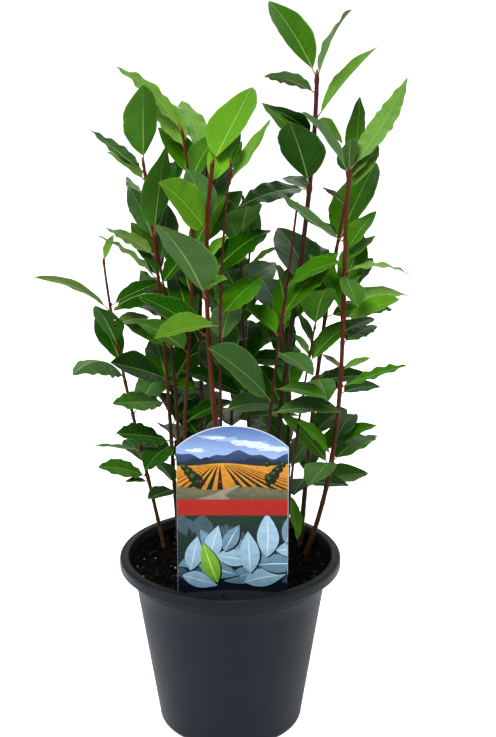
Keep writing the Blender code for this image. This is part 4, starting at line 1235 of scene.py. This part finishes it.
def grainObject(size, stretch, seed, knobs=0.9):
    # one knobbly grain of a few dozen faces
    shape = bmesh.new()
    bmesh.ops.create_icosphere(shape, subdivisions=1, radius=size * mm)
    for vertex in shape.verts:
        knob = 1 + knobs * noise.noise(vertex.co / (size * mm) * 1.9 + Vector((seed, 0, 0)))
        vertex.co = Vector([value * way * knob for value, way in zip(vertex.co, stretch)])
    mesh = meshOf("oneGrain", shape)
    mesh.shade_smooth()
    return newObject("oneGrain", mesh)


def topSurface(name):
    # the bed's upper faces alone, for the grains to lie on
    shape = bmesh.new()
    shape.from_mesh(bed.data)
    edge = earthSizes["edge"] * mm * earthSizes["grainReach"]
    gone = [face for face in shape.faces
            if face.normal.z < earthSizes["steepest"] or face.calc_center_median().xy.length > edge]
    bmesh.ops.delete(shape, geom=gone, context="FACES")
    return newObject(name, meshOf(name, shape))


def strandLine(draw):
    # one fibre lying in a bow on the compost, or None where it would reach the pot
    size = strandSizes
    edge = earthSizes["edge"] * mm
    middle = polar(draw.uniform(0, anyTurn), edge * math.sqrt(draw.uniform(0, 0.9)))
    way, reach = draw.uniform(0, anyTurn), draw.uniform(*size["reach"]) * mm
    half, bow = draw.uniform(*size["half"]) * mm, draw.uniform(-size["bow"], size["bow"])
    line = []
    for step in range(size["steps"] + 1):
        share = step / size["steps"]
        x, y = (one + other for one, other in zip(middle, polar(way + bow * share, reach * (share - 0.5))))
        if math.hypot(x, y) > edge * size["within"]:
            break
        z = earthHeight(x, y) * mm + half * 2 + size["lift"] * mm * math.sin(math.pi * share)
        line.append(((x, y, z), half * (1 - 0.6 * abs(share - 0.5)), share))
    return line if len(line) > 3 else None


earthFinishes = {name: groupFinish(name, earthGrain, shine, (0.9, 0.0008), {
    "Dark": dark, "Light": light, "Light amount": amount})
    for name, (dark, light, amount, shine) in earths.items()}
bed = newObject("compostBed", earthMesh())
bed.data.materials.append(earthFinishes["blackEarth"])
bed.data.shade_smooth()
scatteredGrains = geometryGroup("scatteredGrains", drawGrains, {
    "Surface": "NodeSocketGeometry", "Grain": "NodeSocketObject", "Amount": 1000.0, "Smallest": 0.5,
    "Largest": 1.5, "Lean": 3.14, "Seed": 1})
for name, (size, stretch, values, earth) in grains.items():
    surface, grain = topSurface(name), grainObject(size, stretch, len(name))
    growTree(surface, scatteredGrains, {**values, "Grain": grain, "Finish": earthFinishes[earth]})
    addPiece(surface, "compost")
    deletePieces(grain)
addPiece(bed, "compost", "compost")
strandDraw = random.Random(77)
strands = [strandLine(strandDraw) for _ in range(strandSizes["count"])]
fibres = linesObject("compostFibres", [line for line in strands if line])
growTree(fibres, taperedTubes, {"Sides": strandSizes["sides"], "Finish": earthFinishes["chipBark"]})
addPiece(fibres, "compost")
print("compost is made")


# Label, mm: card with a printed view, a plain band and a spray of leaves, each a thin film of ink on the last

cardSizes = dict(y=-58.0, middle=2.5, half=40.5, shoulder=249.0, top=265.5, neckLeft=134.0, neckRight=150.0,
                 stakeHalf=9.0, stakeTop=118.0, stakeTip=76.0, point=16, thick=0.8, film=0.035, bevel=0.15)
bandSizes = dict(foot=196.5, top=209.0, stripTop=137.0, stripRoof=1.408, margin=0.4)
viewSizes = dict(horizon=226, meet=235.6, meetAt=-9, rows=9, farGap=1.5, nearGap=8.0, fall=19, foot=209,
                 top=246, clouds=15, bushes=16, poppies=18)
spraySizes = dict(dimLeaves=26, dimLengths=(15, 26), lean=46, leanLess=16, sway=6, lengths=(0.9, 1.05),
                  bow=0.10)
# each ink's colours low and high on the card, those two heights, its mottle and the size of the mottle
inkRows = {
    "sky": ((0.32, 0.46, 0.76), (0.08, 0.15, 0.37), (238, 265), 0.35, 60.0),
    "cloud": ((0.62, 0.70, 0.88), (0.56, 0.66, 0.86), (240, 262), 0.30, 90.0),
    "thinCloud": ((0.36, 0.48, 0.76), (0.26, 0.38, 0.66), (240, 262), 0.30, 90.0),
    "farHill": ((0.016, 0.030, 0.085), (0.045, 0.070, 0.170), (236, 246), 0.5, 180.0),
    "hill": ((0.010, 0.018, 0.020), (0.014, 0.028, 0.050), (228, 242), 0.7, 300.0),
    "field": ((0.42, 0.150, 0.012), (0.62, 0.270, 0.030), (210, 238), 0.8, 260.0),
    "bush": ((0.004, 0.009, 0.003), (0.012, 0.022, 0.006), (212, 240), 1.0, 420.0),
    "bushLight": ((0.030, 0.060, 0.010), (0.055, 0.090, 0.018), (212, 240), 1.0, 420.0),
    "poppy": ((0.55, 0.030, 0.012), (0.60, 0.05, 0.02), (210, 240), 0.4, 400.0),
    "ground": ((0.075, 0.085, 0.045), (0.16, 0.14, 0.075), (208, 220), 0.9, 200.0),
    "path": ((0.20, 0.19, 0.15), (0.32, 0.28, 0.21), (208, 224), 0.6, 260.0),
    "band": ((0.33, 0.015, 0.009), (0.36, 0.018, 0.010), (196, 209), 0.08, 90.0),
    "shade": ((0.004, 0.006, 0.012), (0.010, 0.030, 0.018), (140, 196), 0.9, 110.0),
    "dimLeaf": ((0.020, 0.040, 0.075), (0.050, 0.090, 0.110), (140, 196), 0.8, 160.0),
    "midLeaf": ((0.075, 0.160, 0.230), (0.150, 0.260, 0.360), (140, 196), 0.7, 160.0),
    "paleLeaf": ((0.170, 0.310, 0.420), (0.330, 0.490, 0.620), (140, 196), 0.6, 160.0),
    "midRib": ((0.200, 0.330, 0.410), (0.280, 0.420, 0.500), (140, 196), 0.1, 160.0),
    "paleRib": ((0.420, 0.580, 0.650), (0.560, 0.700, 0.760), (140, 196), 0.1, 160.0),
    "shadow": ((0.003, 0.005, 0.008), (0.006, 0.010, 0.014), (140, 196), 0.3, 160.0),
    "greenLeaf": ((0.090, 0.260, 0.012), (0.210, 0.430, 0.040), (142, 182), 0.5, 160.0),
    "greenRib": ((0.36, 0.58, 0.12), (0.46, 0.66, 0.18), (140, 182), 0.1, 160.0),
    "strip": ((0.018, 0.023, 0.030), (0.021, 0.027, 0.035), (130, 140), 0.1, 90.0),
    "card": ((0.62, 0.66, 0.70), (0.70, 0.74, 0.78), (76, 266), 0.06, 90.0),
}
sprigs = (
    dict(start=(40, 145), turn=156, bow=12, length=62, pairs=3, leaf=33, ink="midLeaf", rib="midRib"),
    dict(start=(-43, 144), turn=38, bow=-12, length=44, pairs=3, leaf=32, ink="paleLeaf", rib="paleRib"),
    dict(start=(4, 136), turn=60, bow=-30, length=52, pairs=3, leaf=36, ink="paleLeaf", rib="paleRib"),
)
half = cardSizes["half"]
left, right = -half + 0.1, half - 0.35
archRise = cardSizes["top"] - cardSizes["shoulder"]
archHalf = (half * half + archRise * archRise) / (2 * archRise)


def cardOutline():
    size = cardSizes
    stake, top, tip = size["stakeHalf"], size["stakeTop"], size["stakeTip"]
    sweep = math.degrees(math.asin(half / archHalf))
    points = [(0.0, tip), (stake, tip + size["point"]), (stake, top), (half * 0.62, top + 8),
              (half * 0.93, potSizes["height"] - 7), (half, size["neckRight"])]
    points += arcPoints((0.0, size["top"] - archHalf), archHalf, 90 - sweep, 90 + sweep, 40)
    points += [(-half, size["neckLeft"]), (-half * 0.62, top + 8), (-stake, top)]
    return points + [(-stake, tip + size["point"])]


def archTop(across):
    return cardSizes["top"] - archHalf + math.sqrt(max(archHalf * archHalf - across * across, 0))


def slab(name, outline, front, thick, finish):
    # a flat outline in the label's plane, front face towards the viewer
    shape = bmesh.new()
    face = shape.faces.new([shape.verts.new(((cardSizes["middle"] + across) * mm, front * mm, height * mm))
                            for across, height in outline])
    face.normal_update()
    if face.normal.y > 0:
        face.normal_flip()
    pushed = bmesh.ops.extrude_face_region(shape, geom=[face])
    moved = [item for item in pushed["geom"] if isinstance(item, bmesh.types.BMVert)]
    bmesh.ops.translate(shape, verts=moved, vec=(0, thick * mm, 0))
    bmesh.ops.recalc_face_normals(shape, faces=shape.faces)
    bmesh.ops.triangulate(shape, faces=[face for face in shape.faces if len(face.verts) > 4])
    mesh = meshOf(name, shape)
    mesh.materials.append(finish)
    return newObject(name, mesh)


def addFilm(ink, outline, band=None):
    # each film stands a hair proud of the one before, and a band keeps it between two heights
    if band:
        outline = [(min(max(across, left), right), min(max(level, band[0]), band[1]))
                   for across, level in outline]
    count = len(films)
    front = cardSizes["y"] - cardSizes["thick"] / 2 - cardSizes["film"] * (0.25 + 0.10 * count)
    films.append(slab(f"film_{count}", outline, front, cardSizes["film"] * (0.6 + 0.10 * count), inks[ink]))


def addRidge(ink, foot, top, steps=48):
    # a film from a flat foot up to a line of heights
    line = [right + (left - right) * step / steps for step in range(steps + 1)]
    addFilm(ink, [(left, foot), (right, foot)]
            + [(across, min(top(across), archTop(across) - bandSizes["margin"])) for across in line])


def blob(across, height, wide, tall, seed, knob, steps=22):
    points = []
    for step in range(steps):
        angle = fullTurn * step / steps
        grow = 1 + knob * noise.noise(Vector((math.cos(angle) * 1.8, math.sin(angle) * 1.8, seed * 3.7)))
        points.append((across + wide * grow * math.cos(angle), height + tall * grow * math.sin(angle)))
    return points


def flatLeaf(across, height, turn, length, wide, bow=0.0, steps=14):
    # a pointed leaf outline lying in the label's plane
    turn = math.radians(turn)
    points = []
    for side, span in ((1, range(steps + 1)), (-1, range(steps - 1, 0, -1))):
        for step in span:
            share = step / steps
            off = side * wide * math.sin(math.pi * share ** 0.85) + bow * length * share * share
            points.append((across + length * share * math.cos(turn) - off * math.sin(turn),
                           height + length * share * math.sin(turn) + off * math.cos(turn)))
    return points


def dealt(index, pace, low, high, start=0.0):
    # places that spread evenly however many there are
    return low + (high - low) * ((index * pace + start) % 1.0)


def waves(level, *swings):
    # a line of heights made of (size, pace, start) waves
    return lambda across: level + sum(size * math.sin(across * pace + start) for size, pace, start in swings)


def printView():
    # sky and clouds, hills, planted rows that run down from one far point, bushes, poppies and a path
    view, ground = viewSizes, bandSizes["top"]
    addRidge("sky", view["horizon"], lambda across: archTop(across) - bandSizes["margin"])
    for index in range(view["clouds"]):
        across, level = dealt(index, 0.618, -30, 36, 0.1), dealt(index, 0.377, 246.5, 259.5)
        wide = dealt(index, 0.53, 5, 12)
        cloud = blob(across, level, wide, wide * 0.22, index + 5, 0.7, 28)
        addFilm("thinCloud" if index < 8 else "cloud", cloud,
                (view["horizon"], archTop(min(abs(across) + wide, 39)) - 0.6))
    addRidge("farHill", view["horizon"], waves(243.5, (2.4, 0.13, 1.0), (1.2, 0.37, 0)))
    addRidge("hill", 220, waves(239.5, (1.6, 0.17, -1.2), (0.8, 0.6, 0)))
    addRidge("field", view["foot"], waves(236.0, (1.1, 0.11, 2.2)))
    band = (view["foot"], view["top"])
    for index in range(-view["rows"], view["rows"] + 1):
        far, near = view["meetAt"] + index * view["farGap"], view["meetAt"] + index * view["nearGap"]
        reach = min(1.0, ((right if near > 0 else left) - far) / (near - far) if index else 1.0)
        if reach > 0.15:
            foot, low = far + (near - far) * reach, view["meet"] - view["fall"] * reach
            wide = 0.25 + 1.9 * reach
            addFilm("bush", [(far - 0.2, view["meet"]), (far + 0.2, view["meet"]), (foot + wide, low),
                             (foot - wide, low)], band)
    for index in range(view["bushes"]):
        depth = dealt(index, 0.379, 0, 1)
        across, level = (-1) ** index * dealt(index, 0.618, 25, 37), 236.5 - 15 * depth
        size = 2.0 + 2.6 * depth
        addFilm("bush", blob(across, level, size, size * 1.15, index, 0.35), band)
        lit = blob(across - size * 0.25, level + size * 0.35, size * 0.5, size * 0.45, index + 3, 0.5)
        addFilm("bushLight", lit, band)
    for index in range(view["poppies"]):
        across, level = dealt(index, 0.755, -24, 26), dealt(index, 0.43, 233, 219)
        addFilm("poppy", blob(across, level, 0.7, 0.5, index, 0.3, 8))
    addRidge("ground", ground, waves(217.5, (1.2, 0.12, 0)))
    addFilm("path", [(-26, ground), (-2, ground), (-5.5, 212.5), (-1, 216), (6, 219.5), (3.5, 219.8),
                     (-7, 216.5), (-14, 213)])


def printSpray(draw):
    # dim leaves behind, then sprigs with leaves in turn on both sides of a bending stem, over shadows
    band, size = (bandSizes["stripTop"] + 0.1, bandSizes["foot"] - 0.2), spraySizes
    for index in range(size["dimLeaves"]):
        length = draw.uniform(*size["dimLengths"])
        addFilm("dimLeaf", flatLeaf(dealt(index, 0.618, -36, 36, 0.2), dealt(index, 0.37, 140, 186),
                                    draw.uniform(20, 160), length, length * 0.2), band)
    for sprig in sprigs:
        across, level = sprig["start"]
        steps = sprig["pairs"] * 2
        for step in range(steps):
            share = step / steps
            turn = sprig["turn"] + sprig["bow"] * share
            stride = polar(math.radians(turn), sprig["length"] / steps)
            across, level = across + stride[0], level + stride[1]
            way = turn + (size["lean"] - size["leanLess"] * share) * (1 if step % 2 else -1)
            way += draw.uniform(-size["sway"], size["sway"])
            length = sprig["leaf"] * (1 - 0.45 * abs(share - 0.35)) * draw.uniform(*size["lengths"])
            bow = draw.uniform(-size["bow"], size["bow"])
            tint = "midLeaf" if step % 3 == 2 else sprig["ink"]
            for ink, shift, reach, wide in (("shadow", 0.8, 1.0, 0.25), (tint, 0.0, 1.0, 0.23),
                                            (sprig["rib"], 0.0, 0.94, 0.014)):
                outline = flatLeaf(across + shift, level - shift, way, length * reach, length * wide, bow)
                addFilm(ink, outline, band)
    for ink, shift, reach, wide in (("shadow", 0.9, 35, 7.0), ("greenLeaf", 0.0, 34, 6.6),
                                    ("greenRib", 0.0, 32, 0.5)):
        addFilm(ink, flatLeaf(-11 + shift, 143 - shift, 112, reach, wide, -0.06), band)


def printStrip():
    # the plain foot of the card, following its outline up to a low roof
    top, roof = bandSizes["stripTop"], bandSizes["stripRoof"]
    outline = [(across, level) for across, level in cardOutline() if level < top]
    turnAt = 1 + max(range(len(outline)), key=lambda spot: outline[spot][0])
    addFilm("strip", outline[:turnAt] + [(roof, top), (-roof, top)] + outline[turnAt:])


inks = {name: groupFinish(name + "Ink", printedInk, 0.12, (0.05, 0.0001), {
    "Low ink": (*low, 1), "High ink": (*high, 1), "Low height": heights[0] * mm,
    "High height": heights[1] * mm, "Mottle": mottle, "Mottle size": size})
    for name, (low, high, heights, mottle, size) in inkRows.items()}
card = slab("labelCard", cardOutline(), cardSizes["y"] - cardSizes["thick"] / 2, cardSizes["thick"],
            inks["card"])
bevel = card.modifiers.new("edge", "BEVEL")
bevel.width = cardSizes["bevel"] * mm
bevel.segments = 2
bevel.limit_method = "ANGLE"
bakeModifiers(card)
films = []
printView()
addRidge("shade", 132.5, lambda across: bandSizes["foot"] + 0.2)
addFilm("band", [(left, bandSizes["foot"]), (right, bandSizes["foot"]), (right, bandSizes["top"]),
                 (left, bandSizes["top"])])
printSpray(random.Random(12))
printStrip()
bpy.ops.object.select_all(action="DESELECT")
for film in films:
    film.select_set(True)
printed = bpy.context.view_layer.objects.active = films[0]
bpy.ops.object.join()
printed.name = printed.data.name = "labelPrint"
addPiece(card, "label", "label")
addPiece(printed, "label")
print("label is made")


# Floor, light and camera

studio = dict(floorHalf=9.0, floorDrop=-0.0005, floorTone=(0.90, 0.90, 0.90, 1), floorGlow=0.85,
              sky=(0.98, 0.99, 1.0, 1), skyLight=0.40, skySeen=1.0)
lamps = table("place aim size power", {
    "topFront": ((-0.5, -1.3, 1.9), (0, 0, 0.3), (1.0, 0.8), 50),
    "leftSide": ((-1.5, 0.0, 0.6), (0, 0, 0.25), (0.6, 1.4), 10),
    "rightSide": ((1.5, 0.1, 0.6), (0, 0, 0.25), (0.6, 1.4), 8),
    "behind": ((0.2, 1.4, 1.2), (0, 0, 0.35), (1.4, 1.0), 14),
})
view = dict(place=(0.0137, -1.182, 0.676), down=18.1, focus=1673.0, frameHigh=737.0, sensor=36.0)

shape = bmesh.new()
bmesh.ops.create_grid(shape, x_segments=2, y_segments=2, size=studio["floorHalf"])
floor = newObject("studioFloor", meshOf("studioFloor", shape))
floorPaint, tree, shader = newMaterial("paleFloor", {
    "Base Color": studio["floorTone"], "Roughness": 0.8, "Emission Color": (1, 1, 1, 1)})
seen = wire(tree, "ShaderNodeLightPath", give="Is Camera Ray")
feed(shader, {"Emission Strength": seen * studio["floorGlow"]})
floor.data.materials.append(floorPaint)
floor.location.z = studio["floorDrop"]

world = bpy.data.worlds.new("studio")
bpy.context.scene.world = world
world.use_nodes = True
seen = wire(world.node_tree, "ShaderNodeLightPath", give="Is Camera Ray")
feed(world.node_tree.nodes["Background"], {
    "Color": studio["sky"], "Strength": spread(seen, 0.0, 1.0, studio["skyLight"], studio["skySeen"])})

for name, lamp in lamps.items():
    light = bpy.data.lights.new(name, "AREA")
    light.shape = "RECTANGLE"
    light.size, light.size_y = lamp["size"]
    light.energy = lamp["power"]
    item = newObject(name, light)
    item.location = lamp["place"]
    item.rotation_euler = (Vector(lamp["aim"]) - Vector(lamp["place"])).to_track_quat("-Z", "Y").to_euler()

lens = bpy.data.cameras.new("camera")
lens.sensor_fit = "VERTICAL"
lens.sensor_height = view["sensor"]
lens.lens = view["focus"] / view["frameHigh"] * view["sensor"]
camera = newObject("camera", lens)
camera.location = view["place"]
camera.rotation_euler = (math.radians(90 - view["down"]), 0, 0)
bpy.context.scene.camera = camera
bpy.context.scene.view_settings.view_transform = "Standard"
